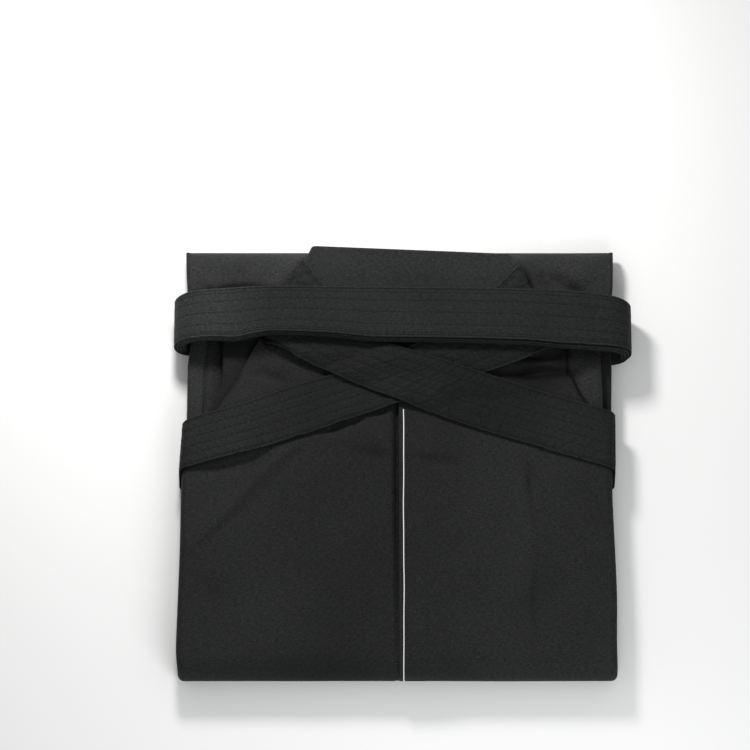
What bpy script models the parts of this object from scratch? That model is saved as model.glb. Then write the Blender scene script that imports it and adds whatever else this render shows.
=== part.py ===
"""Hakama trousers, pressed, folded in three with the back up, and tied round with their own straps."""

import math

import bpy
import numpy as np

# The tables below are in millimetres, and each mesh is scaled to metres as it is made.
# X runs to the wearer's right, Y from the near roll to the waist end, and Z up from the surface.
MM = 0.001
SEAM = 0.4              # between pieces that lie on each other
WALL = 1.6              # cloth of the back panels, doubled at its seams
STRAP_WALL = 2.0        # straps are quilted from several layers
QUILT = 0.35            # height of the padded rows between the lines of stitching

LOWER_TOP = 19.0        # the lower two thirds, folded in at the far roll
FRONT_TOP = 26.5        # the pleated front panels, under the back
BACK_TOP = 28.5         # the back panels
BOARD_BOTTOM = 30.9
BOARD_TOP = 33.3

ROLL_RADIUS = BACK_TOP / 2
ROLL_Y = -168.6         # axis of the near roll
FAR_ROLL_RADIUS = LOWER_TOP / 2
FAR_ROLL_Y = 170.0

HEM_ROUNDING = 5.0      # where a back panel turns down over the side
LIP = BACK_TOP - LOWER_TOP - 0.6
FOLD_EDGE_X = -2.8      # edge of the centre back pleat
PLEAT_UNDER_X = 12.0    # how far the left panel runs on under the right one
PLEAT_LIFT = 2.0
PLEAT_TURN = 0.75       # radians round the near roll where the left panel stops under the right one
WAIST_LIFT = 2.0        # cloth gathered under the back board

TURNS = 4               # times the front strap goes round
TURN_PITCH = STRAP_WALL + 0.3
STRAP_FLOOR = 0.3       # lowest cloth of a strap that passes under the body
STRAP_UNDER = STRAP_FLOOR + QUILT + STRAP_WALL
BAND_UNDER = STRAP_UNDER + (TURNS - 1) * TURN_PITCH
CROSS_CHANNEL = STRAP_UNDER + 2 * SEAM
BAND_CHANNEL = BAND_UNDER + SEAM
CHANNEL_MARGIN = 1.2


def columns(names, *rows):
    """A short table, as one array for each named column."""
    return dict(zip(names.split(), np.array(rows, float).T))


SIDES = columns(
    "y left right",
    (-181, -176.0, 166.3),
    (-160, -177.3, 166.0),
    (-118, -176.4, 166.7),
    (-77, -175.5, 165.8),
    (-30, -175.2, 164.6),
    (0, -173.8, 165.0),
    (45, -172.0, 165.6),
    (78, -171.8, 166.2),
    (95, -170.2, 166.2),
    (132, -170.4, 166.6),
    (150, -173.2, 168.4),
    (180, -174.6, 169.2),
)
# From the surface up: part of the height, and how far that point lies in from the widest.
LAYER_EDGES = columns(
    "height inset",
    (0.000, 3.2),
    (0.040, 1.0),
    (0.130, 0.3),
    (0.215, 1.2),
    (0.250, 2.9),
    (0.285, 1.0),
    (0.380, 0.0),
    (0.465, 0.9),
    (0.500, 3.0),
    (0.535, 0.8),
    (0.640, 0.1),
    (0.730, 1.1),
    (0.765, 2.7),
    (0.800, 1.0),
    (0.880, 0.3),
    (0.960, 1.4),
)
# From the side inwards, on top of the lower layers: a soft roll, then a shallow valley.
TOP_ROLL = columns(
    "inset drop",
    (4.0, 0.1),
    (9.0, 0.0),
    (15.0, 0.9),
    (20.0, 1.8),
    (27.0, 1.1),
    (45.0, 0.7),
    (90.0, 0.6),
)
FLAT_DROP = 0.4         # in place of the roll and the valley, beside the board
# Edge of each front panel, seen in the slits; below the first row it follows the side.
FRONT_EDGE = columns(
    "y left right",
    (-26, -172.8, 162.3),
    (-15, -168.8, 159.6),
    (8, -167.0, 159.0),
    (18, -164.0, 158.8),
    (28, -159.5, 158.6),
    (36, -155.5, 158.5),
    (45, -150.0, 158.3),
    (56, -145.5, 158.0),
    (68, -144.0, 157.5),
    (118, -143.0, 156.0),
    (125, -96.0, 106.0),
    (160, -80.0, 90.0),
)
FRONT_INNER = {"left": -11.0, "right": -1.0}
FRONT_LAYERS = columns(
    "height inset",
    (0.00, 1.6),
    (0.08, 0.4),
    (0.26, 0.0),
    (0.43, 0.5),
    (0.50, 2.0),
    (0.57, 0.4),
    (0.75, 0.0),
    (0.92, 0.9),
)
FRONT_PLEATS = columns("inset drop", (3.0, 0.1), (8.0, 0.0), (13.0, 0.9), (18.0, 0.2), (30.0, 0.0))
# Where each back panel's slit edge runs, from the board down to the side.
SLIT = columns(
    "y left right",
    (-14, -190.0, 180.0),
    (-8, -172.0, 174.0),
    (2, -166.0, 168.0),
    (20, -156.3, 158.4),
    (36, -147.5, 148.9),
    (52, -138.8, 139.3),
    (68, -130.0, 130.0),
    (78, -124.6, 128.6),
    (88, -119.0, 128.0),
    (97, -114.0, 127.0),
)
# Broad folds left by the pressing, as ridges between two points of the back.
FOLDS = columns(
    "x0 y0 x1 y1 width height",
    (-84, 8, -168, -74, 11, 0.9),
    (-72, -10, -74, -150, 13, 0.5),
    (100, 4, 102, -116, 12, 0.7),
    (96, -2, 156, -54, 10, 0.5),
    (-46, -4, 30, 0, 8, 0.4),
)
# Points across a back panel, from the pleat to its outer edge, closest at the pleat and the rounded side.
PANEL_PARTS = np.array([0.0, 0.045, 0.085, 0.13, 0.27, 0.42, 0.57, 0.72, 0.84, 0.925, 0.947, 0.968, 1.0])
BOARD_CORNERS = ((-111.1, 88.0), (122.7, 88.0), (85.7, 170.6), (-72.9, 177.6))
BOARD_CORNER_RADIUS = 4.0
BOARD_EDGE = columns("inset height", (0.8, 0.0), (0.0, 0.35), (0.0, 0.65), (0.9, 1.0))

# The crossed back straps, from the board's slanted side to the far side of the body.
STRAP_LEFT = columns(
    "upper_x upper_y lower_x lower_y",
    (-79.4, 163.1, -109.2, 93.0),
    (-62.0, 139.9, -98.6, 89.3),
    (-42.0, 116.0, -85.0, 81.9),
    (-20.0, 94.2, -60.4, 69.7),
    (0.0, 86.8, -34.3, 57.6),
    (24.0, 79.6, -2.6, 44.3),
    (62.4, 67.0, 50.0, 24.6),
    (110.0, 52.3, 106.0, 6.4),
    (159.4, 37.1, 159.4, -9.8),
)
STRAP_RIGHT = columns(
    "upper_x upper_y lower_x lower_y",
    (91.4, 158.2, 121.6, 91.4),
    (73.0, 138.8, 111.0, 86.6),
    (45.0, 117.0, 92.0, 78.6),
    (15.8, 94.2, 62.5, 68.2),
    (-20.0, 79.8, 20.0, 51.6),
    (-54.1, 67.6, -36.0, 31.9),
    (-92.0, 55.4, -86.0, 13.9),
    (-129.2, 41.6, -127.0, 0.9),
    (-167.8, 30.4, -167.8, -10.4),
)
STRAP_SLOPE = 0.305     # fall along the body for each millimetre across it
STRAP_TAILS = {"left": 15.0, "right": -20.0}
STRAP_STEP = 8.5
STRAP_RISE = 0.25       # steepest way down that a strap takes from what it lies on
STRAP_REST = 5.0        # how far it stays level past an edge
# Round the side: how far in from it, and how far below the strap's height on top.
STRAP_SHOULDER = columns("inset drop", (2.86, 0.43), (1.04, 1.64), (-0.17, 3.46), (-0.6, 5.6))
STRAP_FOOT = columns(
    "inset height",
    (-0.6, 9.5),
    (-0.6, 4.9),
    (0.1, 3.3),
    (2.0, STRAP_UNDER),
    (8.0, STRAP_UNDER),
)
# At the board: how far the fold stands out past its edge, and its height there.
STRAP_ROOT = columns("out height", (0.8, 31.3), (0.4, 33.1))

# The front strap's inner face, round the whole body, from under its middle and back.
BAND_PATH = columns(
    "x z",
    (4, BAND_UNDER),
    (80, BAND_UNDER),
    (158, BAND_UNDER),
    (167.5, BAND_UNDER + 0.1),
    (171.2, 12.0),
    (173.1, 16.8),
    (173.4, 22.4),
    (171.8, 27.2),
    (168.0, 30.8),
    (160, 33.0),
    (148, 34.6),
    (136, 36.4),
    (120, 36.6),
    (0, 36.6),
    (-104, 36.6),
    (-119, 36.3),
    (-132, 34.6),
    (-146, 33.4),
    (-158, 32.6),
    (-168.0, 30.2),
    (-172.6, 26.2),
    (-174.0, 21.2),
    (-173.8, 16.2),
    (-172.4, 12.0),
    (-169.0, BAND_UNDER + 0.1),
    (-158, BAND_UNDER),
    (-80, BAND_UNDER),
    (-1, BAND_UNDER),
)
BAND_STEP = 12.0
# The outer turn's two edges along the body.
BAND_EDGES = columns(
    "x near far",
    (-184, 95.0, 131.8),
    (-171, 95.6, 134.2),
    (-151, 96.1, 135.6),
    (-134, 95.0, 136.2),
    (-117, 97.8, 136.5),
    (-104, 99.5, 136.8),
    (-82, 99.1, 136.7),
    (-52, 97.3, 136.3),
    (-24, 94.4, 136.0),
    (36, 93.6, 135.4),
    (95, 91.9, 134.3),
    (135, 88.8, 132.6),
    (165, 88.5, 130.3),
    (184, 89.6, 127.4),
)
# How far each turn lies towards the near side of the outer one, at the body's left and right.
TURN_SHIFT = columns("left right", (0.5, 2.2), (1.0, 2.4), (0.4, 1.9), (0.0, 0.0))
QUILT_ROWS = 5


def clear_scene():
    for existing in list(bpy.data.objects):
        bpy.data.objects.remove(existing, do_unlink=True)


def make_material(name, colour, roughness):
    material = bpy.data.materials.new(name)
    material.use_nodes = True
    shader = material.node_tree.nodes["Principled BSDF"]
    shader.inputs["Base Color"].default_value = (*colour, 1.0)
    shader.inputs["Roughness"].default_value = roughness
    shader.inputs["Metallic"].default_value = 0.0
    return material


def curve(at, values, x):
    """A smooth line through a table's points, read at x, and level with the last point past each end."""
    rise = np.diff(values) / np.diff(at)
    steady = rise[:-1] * rise[1:] > 0
    slopes = np.concatenate([rise[:1], np.zeros(len(at) - 2), rise[-1:]])
    slopes[1:-1][steady] = 2 / (1 / rise[:-1][steady] + 1 / rise[1:][steady])
    x = np.clip(x, at[0], at[-1])
    place = np.clip(np.searchsorted(at, x, side="right") - 1, 0, len(at) - 2)
    span = at[place + 1] - at[place]
    t = (x - at[place]) / span
    return (
        values[place] * (1 + 2 * t) * (1 - t) ** 2
        + slopes[place] * span * t * (1 - t) ** 2
        + values[place + 1] * t * t * (3 - 2 * t)
        - slopes[place + 1] * span * t * t * (1 - t)
    )


def ease(t):
    t = np.clip(t, 0.0, 1.0)
    return t * t * (3 - 2 * t)


def side_x(hand, y):
    return curve(SIDES["y"], SIDES[hand], y)


def inward(hand):
    """Which way along X leads from a side to the middle."""
    return 1.0 if hand == "left" else -1.0


def loft(name, sections, material):
    """A closed solid through sections of as many points each, with a flat face at each end."""
    rows, around = sections.shape[:2]
    index = np.arange(rows * around).reshape(rows, around)
    following = np.roll(index, -1, axis=1)
    faces = np.stack([index[:-1], index[1:], following[1:], following[:-1]], axis=-1).reshape(-1, 4).tolist()
    faces.append(index[0].tolist())
    faces.append(index[-1, ::-1].tolist())
    mesh = bpy.data.meshes.new(name)
    mesh.from_pydata((sections.reshape(-1, 3) * MM).tolist(), [], faces)
    mesh.materials.append(material)
    solid = bpy.data.objects.new(name, mesh)
    bpy.context.scene.collection.objects.link(solid)
    turn_faces_out(mesh)
    mesh.shade_smooth()
    mesh.set_sharp_from_angle(angle=math.radians(40))
    return solid


def turn_faces_out(mesh):
    """Flips the mesh where its enclosed volume comes out negative."""
    mesh.calc_loop_triangles()
    points = np.array([vertex.co[:] for vertex in mesh.vertices])
    corners = points[np.array([triangle.vertices[:] for triangle in mesh.loop_triangles])]
    if np.einsum("ij,ij->i", corners[:, 0], np.cross(corners[:, 1], corners[:, 2])).sum() < 0:
        mesh.flip_normals()


def lower_section(y, bottom, top, set_in):
    """One section of the lower layers: scalloped at both sides, with a soft roll along each."""
    height = top - bottom
    ripple = 0.5 * np.sin(y / 31.0 + 9.0 * LAYER_EDGES["height"]) * (LAYER_EDGES["height"] > 0.1)
    edge_inset = set_in + np.maximum(LAYER_EDGES["inset"] + 0.4 * ripple, 0.0)
    edge_z = bottom + height * LAYER_EDGES["height"]
    roll_inset = set_in + TOP_ROLL["inset"]
    rolled = 1 - ease((y - 118) / 20)
    roll_z = top - (FLAT_DROP + (TOP_ROLL["drop"] - FLAT_DROP) * rolled) * height / LOWER_TOP
    inset = np.concatenate([edge_inset, roll_inset])
    z = np.concatenate([edge_z, roll_z])
    left = np.stack([side_x("left", y) + inset, np.full_like(z, y), z], axis=-1)
    right = np.stack([side_x("right", y) - inset, np.full_like(z, y), z], axis=-1)
    return np.concatenate([left, right[::-1]])


def make_lower_layers(material):
    inner = ROLL_RADIUS - WALL - SEAM
    tucked = WALL + 2.5 * SEAM
    step_y = ROLL_Y + 1.0
    sections = []
    for angle in np.radians([86, 70, 52, 34, 16, 0]):
        reach = inner * math.cos(angle)
        y = ROLL_Y + SEAM - inner * math.sin(angle)
        corner = HEM_ROUNDING * 0.3 * math.sin(angle) ** 3
        sections.append(lower_section(y, ROLL_RADIUS - reach, ROLL_RADIUS + reach, tucked + corner))
    sections.append(lower_section(step_y, 0.0, LOWER_TOP, tucked))
    sections.append(lower_section(step_y + 1.1, 0.0, LOWER_TOP, 0.0))
    for y in (-140, -110, -80, -50, -20, 10, 35, 60, 80, 95, 114, 132, 148):
        sections.append(lower_section(y, 0.0, LOWER_TOP, 0.0))
    for angle in np.radians([0, 25, 48, 68, 84]):
        reach = FAR_ROLL_RADIUS * math.cos(angle)
        far_y = FAR_ROLL_Y + FAR_ROLL_RADIUS * math.sin(angle)
        sections.append(lower_section(far_y, FAR_ROLL_RADIUS - reach, FAR_ROLL_RADIUS + reach, 0.0))
    return loft("legs_folded", np.array(sections), material)


def front_edge_x(hand, y):
    if y < FRONT_EDGE["y"][0]:
        return side_x(hand, y) + inward(hand) * (WALL + 2 * SEAM)
    return np.interp(y, FRONT_EDGE["y"], FRONT_EDGE[hand])


def make_front_panel(hand, material):
    """A pleated front panel, as it lies under the back, layered at its outer edge."""
    bottom = LOWER_TOP + SEAM
    sections = []
    for y in (-167.2, -120, -70, -26, -15, 8, 18, 28, 36, 45, 56, 68, 85, 98, 104, 118, 125, 145, 160):
        edge = front_edge_x(hand, y)
        top = FRONT_TOP + 4.0 * ease((y - 98) / 6)
        layer_z = bottom + (top - bottom) * FRONT_LAYERS["height"]
        layer_x = edge + inward(hand) * FRONT_LAYERS["inset"]
        pleat_x = edge + inward(hand) * FRONT_PLEATS["inset"]
        pleat_z = top - FRONT_PLEATS["drop"]
        inner_x = FRONT_INNER[hand]
        x = np.concatenate([layer_x, pleat_x, [inner_x, inner_x]])
        z = np.concatenate([layer_z, pleat_z, [top, bottom]])
        sections.append(np.stack([x, np.full_like(x, y), z], axis=-1))
    return loft(f"front_panel_{hand}", np.array(sections), material)


def fold_height(x, y):
    """Height of the pressed folds at a point of the back, the highest of them where they meet."""
    height = np.zeros_like(x)
    for x0, y0, x1, y1, width, rise in zip(*FOLDS.values()):
        run = np.array([x1 - x0, y1 - y0])
        along = ((x - x0) * run[0] + (y - y0) * run[1]) / (run @ run)
        nearest = np.clip(along, 0.0, 1.0)
        distance = np.hypot(x - x0 - nearest * run[0], y - y0 - nearest * run[1])
        height = np.maximum(height, rise * np.exp(-((distance / width) ** 2)))
    return height


def back_rows():
    """Stations down the back: on the flat as (y, 0), and round the near roll as an angle."""
    waist = (97, 91, 86, 80)
    slits = (70, 60, 50, 40, 26, 12, -2, -8, -14)
    below = (-30, -50, -72, -96, -122, -148)
    flat = [(y, 0.0) for y in (*waist, *slits, *below)]
    turned = [(ROLL_Y, angle) for angle in np.linspace(0.0, math.pi, 9)]
    return flat + turned


def back_section(hand, y, angle):
    """One section of a back panel, from the centre pleat out, down over the side, and back inside."""
    start = FOLD_EDGE_X
    if hand == "left":
        run_on = 1 - ease(angle / PLEAT_TURN)
        start = FOLD_EDGE_X - SEAM + (PLEAT_UNDER_X - FOLD_EDGE_X + SEAM) * run_on
    out = -inward(hand)
    edge = side_x(hand, y - ROLL_RADIUS * math.sin(angle))
    flat = abs(edge - start) - HEM_ROUNDING
    turn = HEM_ROUNDING * math.pi / 2
    whole = flat + turn + LIP - HEM_ROUNDING
    slit = abs(float(curve(SLIT["y"], SLIT[hand], y)) - start)
    width = whole if y < SLIT["y"][0] + 0.1 else min(whole, slit)
    along = PANEL_PARTS * width
    bend = np.clip((along - flat) / HEM_ROUNDING, 0.0, math.pi / 2)
    x = start + out * (np.minimum(along, flat) + HEM_ROUNDING * np.sin(bend))
    depth = -HEM_ROUNDING * (1 - np.cos(bend)) - np.maximum(along - flat - turn, 0.0)
    raised = panel_lift(hand, x, y, angle) + fold_height(x, np.full_like(x, y)) * math.cos(angle / 2) ** 2
    depth = depth + raised * np.cos(bend)
    rings = []
    for inwards in (0.0, WALL):
        ring_x = x - out * np.sin(bend) * inwards
        reach = ROLL_RADIUS + depth - np.cos(bend) * inwards
        ring_z = ROLL_RADIUS + reach * math.cos(angle)
        rings.append(np.stack([ring_x, y - reach * math.sin(angle), ring_z], axis=-1))
    return rings[0], rings[1]


def panel_lift(hand, x, y, angle):
    """How far the pleat and the gathers at the waist lift a back panel."""
    waist = WAIST_LIFT * ease((y - 80) / 11)
    if hand == "left":
        clear_of_pleat = 1 - ease((x - FOLD_EDGE_X + 9) / 8)
        groove = 0.5 * np.exp(-(((x - FOLD_EDGE_X + 3) / 2.5) ** 2))
        return waist * clear_of_pleat - groove
    pleat = PLEAT_LIFT * (1 - ease((x - PLEAT_UNDER_X) / 9)) * (1 - ease(angle / PLEAT_TURN - 1))
    return np.maximum(pleat, waist)


def make_back_panel(hand, material):
    outer, inner = zip(*[back_section(hand, y, angle) for y, angle in back_rows()])
    outer = np.array(outer)
    sections = np.concatenate([outer, np.array(inner)[:, ::-1]], axis=1)
    panel = loft(f"back_panel_{hand}", sections, material)
    flat_rows = sum(angle == 0.0 for _, angle in back_rows())
    return panel, outer[:flat_rows]


def inset_outline(corners, distance):
    """A convex outline moved in by a distance, given anticlockwise."""
    points = np.array(corners, float)
    run = np.roll(points, -1, axis=0) - points
    run /= np.linalg.norm(run, axis=1)[:, None]
    normal = np.stack([-run[:, 1], run[:, 0]], axis=-1)
    moved = points + normal * distance
    result = []
    for i in range(len(points)):
        before = i - 1
        matrix = np.stack([run[before], -run[i]], axis=-1)
        t = np.linalg.solve(matrix, moved[i] - moved[before])[0]
        result.append(moved[before] + run[before] * t)
    return np.array(result)


def rounded_outline(corners, radius, steps=4):
    """A convex outline with an arc of a few steps at each corner."""
    centres = inset_outline(corners, radius)
    points = np.array(corners, float)
    run = np.roll(points, -1, axis=0) - points
    heading = np.arctan2(run[:, 1], run[:, 0])
    outline = []
    for i, centre in enumerate(centres):
        start = heading[i - 1] - math.pi / 2
        sweep = (heading[i] - heading[i - 1]) % (2 * math.pi)
        for angle in start + sweep * np.linspace(0, 1, steps):
            outline.append(centre + radius * np.array([math.cos(angle), math.sin(angle)]))
    return np.array(outline)


def make_board(material):
    """The stiff board of the back waist, in its cloth cover."""
    sections = []
    for inset, height in zip(BOARD_EDGE["inset"], BOARD_EDGE["height"]):
        outline = rounded_outline(inset_outline(BOARD_CORNERS, inset), BOARD_CORNER_RADIUS - inset)
        z = BOARD_BOTTOM + (BOARD_TOP - BOARD_BOTTOM) * height
        sections.append(np.column_stack([outline, np.full(len(outline), z)]))
    return loft("back_board", np.array(sections), material)


def board_samples():
    """Points all over the board's top."""
    corners = np.array(BOARD_CORNERS, float)
    points = []
    for across in np.linspace(0, 1, 60):
        near = corners[0] + (corners[1] - corners[0]) * across
        far = corners[3] + (corners[2] - corners[3]) * across
        for along in np.linspace(0, 1, 24):
            points.append((*(near + (far - near) * along), BOARD_TOP))
    return np.array(points)


def refined(grid, times):
    """Points between those of a grid, on its own faces."""
    rows, cols = grid.shape[:2]
    u = np.linspace(0, rows - 1, (rows - 1) * times + 1)
    v = np.linspace(0, cols - 1, (cols - 1) * times + 1)
    i = np.minimum(u.astype(int), rows - 2)
    j = np.minimum(v.astype(int), cols - 2)
    s = (u - i)[:, None, None]
    t = (v - j)[None, :, None]
    near = grid[i][:, j] * (1 - t) + grid[i][:, j + 1] * t
    far = grid[i + 1][:, j] * (1 - t) + grid[i + 1][:, j + 1] * t
    return (near * (1 - s) + far * s).reshape(-1, 3)


def lie_on(x, y, support):
    """Height of a strap over what it lies on: level over it and a little past, then gently down."""
    flat = np.stack([np.ravel(x), np.ravel(y)], axis=-1)
    distance = np.linalg.norm(flat[:, None] - support[None, :, :2], axis=-1)
    fall = STRAP_RISE * np.maximum(distance - STRAP_REST, 0.0)
    return (support[None, :, 2] - fall).max(axis=1).reshape(np.shape(x)) + 1.25 * SEAM


def strap_plan(table):
    """The strap's two edges on top of the body, in steps of about equal length."""
    middle = np.stack(
        [(table["upper_x"] + table["lower_x"]) / 2, (table["upper_y"] + table["lower_y"]) / 2], axis=-1
    )
    run = np.concatenate([[0.0], np.cumsum(np.linalg.norm(np.diff(middle, axis=0), axis=1))])
    at = np.linspace(0, run[-1], int(run[-1] / STRAP_STEP) + 1)
    upper = np.stack([curve(run, table["upper_x"], at), curve(run, table["upper_y"], at)], axis=-1)
    lower = np.stack([curve(run, table["lower_x"], at), curve(run, table["lower_y"], at)], axis=-1)
    return upper, lower


def strap_grid(table, hand, support):
    """The face of a crossed strap that lies on the body, from its fold at the board to its hidden tail."""
    across = np.linspace(0, 1, 2 * QUILT_ROWS + 1)[None, :, None]
    upper, lower = strap_plan(table)
    plan = upper[:, None] * (1 - across) + lower[:, None] * across
    height = lie_on(plan[..., 0], plan[..., 1], support)
    top = np.concatenate([plan, height[..., None]], axis=-1)

    fold = lower[0] - upper[0]
    fold /= np.linalg.norm(fold)
    outwards = np.array([fold[1], -fold[0]])
    if outwards @ (upper[0] - upper[1]) < 0:
        outwards = -outwards
    root = []
    for out, z in zip(STRAP_ROOT["out"], STRAP_ROOT["height"]):
        root.append(np.column_stack([plan[0] + outwards * out, np.full(plan.shape[1], z)]))

    far_hand = "right" if hand == "left" else "left"
    out = -inward(far_hand)
    edge = side_x(far_hand, float(plan[-1, :, 1].mean()))
    start_x = plan[-1, 0, 0]
    wrap = []
    run = 0.0
    before = np.array([0.0, 0.0])
    shoulder = height[-1]
    stations = [(inset, None, drop) for inset, drop in zip(STRAP_SHOULDER["inset"], STRAP_SHOULDER["drop"])]
    stations += [(inset, z, None) for inset, z in zip(STRAP_FOOT["inset"], STRAP_FOOT["height"])]
    tail = abs(edge - STRAP_TAILS[hand])
    foot_z = STRAP_FOOT["height"][-1]
    stations += [(inset, foot_z, None) for inset in np.linspace(STRAP_FOOT["inset"][-1], tail, 8)[1:]]
    top_inset = abs(edge - start_x)
    for inset, z, drop in stations:
        level = shoulder - drop if z is None else np.full_like(shoulder, z)
        place = np.array([top_inset - inset, float(shoulder.mean() - level.mean())])
        run += float(np.linalg.norm(place - before))
        before = place
        y = plan[-1, :, 1] - STRAP_SLOPE * run
        wrap.append(np.stack([side_x(far_hand, y) - out * inset, y, level], axis=-1))
    return np.concatenate([np.array(root), top, np.array(wrap)])


def face_normals(grid):
    along = np.gradient(grid, axis=0)
    across = np.gradient(grid, axis=1)
    normal = np.cross(along, across)
    return normal / np.linalg.norm(normal, axis=-1, keepdims=True)


def make_crossed_strap(hand, table, support, material):
    grid = strap_grid(table, hand, support)
    normal = face_normals(grid)
    if normal[4, 5, 2] < 0:
        normal = -normal
    padding = QUILT * (np.arange(grid.shape[1]) % 2)
    outer = grid + normal * (STRAP_WALL + padding)[None, :, None]
    inside = grid[:, ::-2]
    strap = loft(f"back_strap_{hand}", np.concatenate([outer, inside], axis=1), material)
    top_rows = len(strap_plan(table)[0]) + len(STRAP_ROOT["out"])
    return strap, outer[:top_rows]


def band_path():
    """The front strap's inner face in the X and Z plane, with its outward direction, in even steps."""
    points = np.stack([BAND_PATH["x"], BAND_PATH["z"]], axis=-1)
    run = np.concatenate([[0.0], np.cumsum(np.linalg.norm(np.diff(points, axis=0), axis=1))])
    stations = []
    for start, end in zip(run[:-1], run[1:]):
        stations.extend(np.linspace(start, end, max(int((end - start) / BAND_STEP), 1), endpoint=False))
    stations.append(run[-1])
    at = np.array(stations)
    path = np.stack([curve(run, points[:, 0], at), curve(run, points[:, 1], at)], axis=-1)
    heading = np.gradient(path, at, axis=0)
    heading /= np.linalg.norm(heading, axis=1)[:, None]
    return path, np.stack([heading[:, 1], -heading[:, 0]], axis=-1)


def make_strap_turn(number, material):
    """One turn of the front strap, open under the body's middle; the last one shows its quilting."""
    path, outwards = band_path()
    offset = (number - 1) * TURN_PITCH
    inner = path + outwards * offset
    shift = np.interp(
        inner[:, 0], [-170, 170], [TURN_SHIFT["left"][number - 1], TURN_SHIFT["right"][number - 1]]
    )
    near = curve(BAND_EDGES["x"], BAND_EDGES["near"], inner[:, 0]) - shift
    far = curve(BAND_EDGES["x"], BAND_EDGES["far"], inner[:, 0]) - shift
    count = 2 * QUILT_ROWS + 1 if number == TURNS else 2
    sections = []
    for i, point in enumerate(inner):
        across = np.linspace(near[i], far[i], count)
        padding = QUILT * (np.arange(count) % 2) if count > 2 else np.zeros(count)
        outer_xz = point + outwards[i] * (STRAP_WALL + padding)[:, None]
        outer = np.stack([outer_xz[:, 0], across, outer_xz[:, 1]], axis=-1)
        under = np.array([[point[0], far[i], point[1]], [point[0], near[i], point[1]]])
        sections.append(np.concatenate([outer, under]))
    return loft(f"front_strap_turn_{number}", np.array(sections), material)


def make_cutter(name, outline, height):
    """An upright prism from below the surface up to a height, to be cut away."""
    sections = [np.column_stack([outline, np.full(len(outline), z)]) for z in (-5.0, height)]
    cutter = loft(name, np.array(sections), None)
    cutter.hide_render = True
    cutter.display_type = "WIRE"
    return cutter


def cut_away(solid, cutter):
    modifier = solid.modifiers.new(cutter.name, "BOOLEAN")
    modifier.operation = "DIFFERENCE"
    modifier.object = cutter


def strap_channel(hand, grid):
    """The plan of the shallow channel in which a crossed strap's tail lies under the body."""
    far_hand = "right" if hand == "left" else "left"
    out = -inward(far_hand)
    outer_x = side_x(far_hand, 0.0) + out * 6.0
    tail = grid[-1]
    foot = grid[-8]
    slope = (foot[0, 1] - tail[0, 1]) / (foot[0, 0] - tail[0, 0])
    inner_x = tail[0, 0] - out * CHANNEL_MARGIN
    corners = []
    for x in (inner_x, outer_x):
        for edge, margin in ((tail[0], CHANNEL_MARGIN), (tail[-1], -CHANNEL_MARGIN)):
            corners.append((x, edge[1] + slope * (x - edge[0]) + margin))
    return np.array([corners[0], corners[1], corners[3], corners[2]])


def band_channel():
    near = BAND_EDGES["near"].min() - TURN_SHIFT["right"].max() - CHANNEL_MARGIN
    far = BAND_EDGES["far"].max() + CHANNEL_MARGIN
    left = SIDES["left"].min() - 5.0
    right = SIDES["right"].max() + 5.0
    return np.array([(left, near), (right, near), (right, far), (left, far)])


def rest_on_origin(solids):
    """Moves every mesh so that the whole part stands centred on the origin."""
    points = np.concatenate([[vertex.co[:] for vertex in solid.data.vertices] for solid in solids])
    low, high = points.min(axis=0), points.max(axis=0)
    for solid in solids:
        mesh = solid.data
        coordinates = np.array([vertex.co[:] for vertex in mesh.vertices])
        coordinates[:, :2] -= (low[:2] + high[:2]) / 2
        mesh.vertices.foreach_set("co", coordinates.ravel())
        mesh.update()


clear_scene()
body_cloth = make_material("body_cloth", (0.021, 0.022, 0.021), 0.82)
strap_cloth = make_material("strap_cloth", (0.024, 0.026, 0.025), 0.8)

legs = make_lower_layers(body_cloth)
fronts = [make_front_panel(hand, body_cloth) for hand in ("left", "right")]
left_panel, left_face = make_back_panel("left", body_cloth)
right_panel, right_face = make_back_panel("right", body_cloth)
board = make_board(strap_cloth)

support = np.concatenate([refined(left_face, 3), refined(right_face, 3), board_samples()])
under_strap, under_face = make_crossed_strap("right", STRAP_RIGHT, support, strap_cloth)
support = np.concatenate([support, refined(under_face, 2)])
over_strap, over_face = make_crossed_strap("left", STRAP_LEFT, support, strap_cloth)
turns = [make_strap_turn(number, strap_cloth) for number in range(1, TURNS + 1)]

cutters = [make_cutter("band_channel", band_channel(), BAND_CHANNEL)]
for hand, table in (("left", STRAP_LEFT), ("right", STRAP_RIGHT)):
    outline = strap_channel(hand, strap_grid(table, hand, support))
    cutters.append(make_cutter(f"{hand}_strap_channel", outline, CROSS_CHANNEL))
for cutter in cutters:
    cut_away(legs, cutter)

rest_on_origin([legs, *fronts, left_panel, right_panel, board, under_strap, over_strap, *turns, *cutters])
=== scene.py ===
import math

import bpy
import numpy as np
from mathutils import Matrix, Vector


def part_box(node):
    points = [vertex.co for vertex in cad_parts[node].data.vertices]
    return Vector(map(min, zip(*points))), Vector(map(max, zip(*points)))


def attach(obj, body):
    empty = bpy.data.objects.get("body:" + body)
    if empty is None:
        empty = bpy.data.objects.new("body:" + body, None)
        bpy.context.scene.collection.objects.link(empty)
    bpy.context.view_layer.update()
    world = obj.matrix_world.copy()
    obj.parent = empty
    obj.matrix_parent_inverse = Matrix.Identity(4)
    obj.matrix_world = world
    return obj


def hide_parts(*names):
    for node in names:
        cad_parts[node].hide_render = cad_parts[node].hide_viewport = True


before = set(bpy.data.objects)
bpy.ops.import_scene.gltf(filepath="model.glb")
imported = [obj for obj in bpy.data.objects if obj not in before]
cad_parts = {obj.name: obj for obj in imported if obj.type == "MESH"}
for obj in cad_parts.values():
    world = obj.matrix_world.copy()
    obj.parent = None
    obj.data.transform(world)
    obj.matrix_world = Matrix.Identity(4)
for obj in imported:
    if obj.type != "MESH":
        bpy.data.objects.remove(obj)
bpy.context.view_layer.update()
print("frame loaded")

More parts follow.
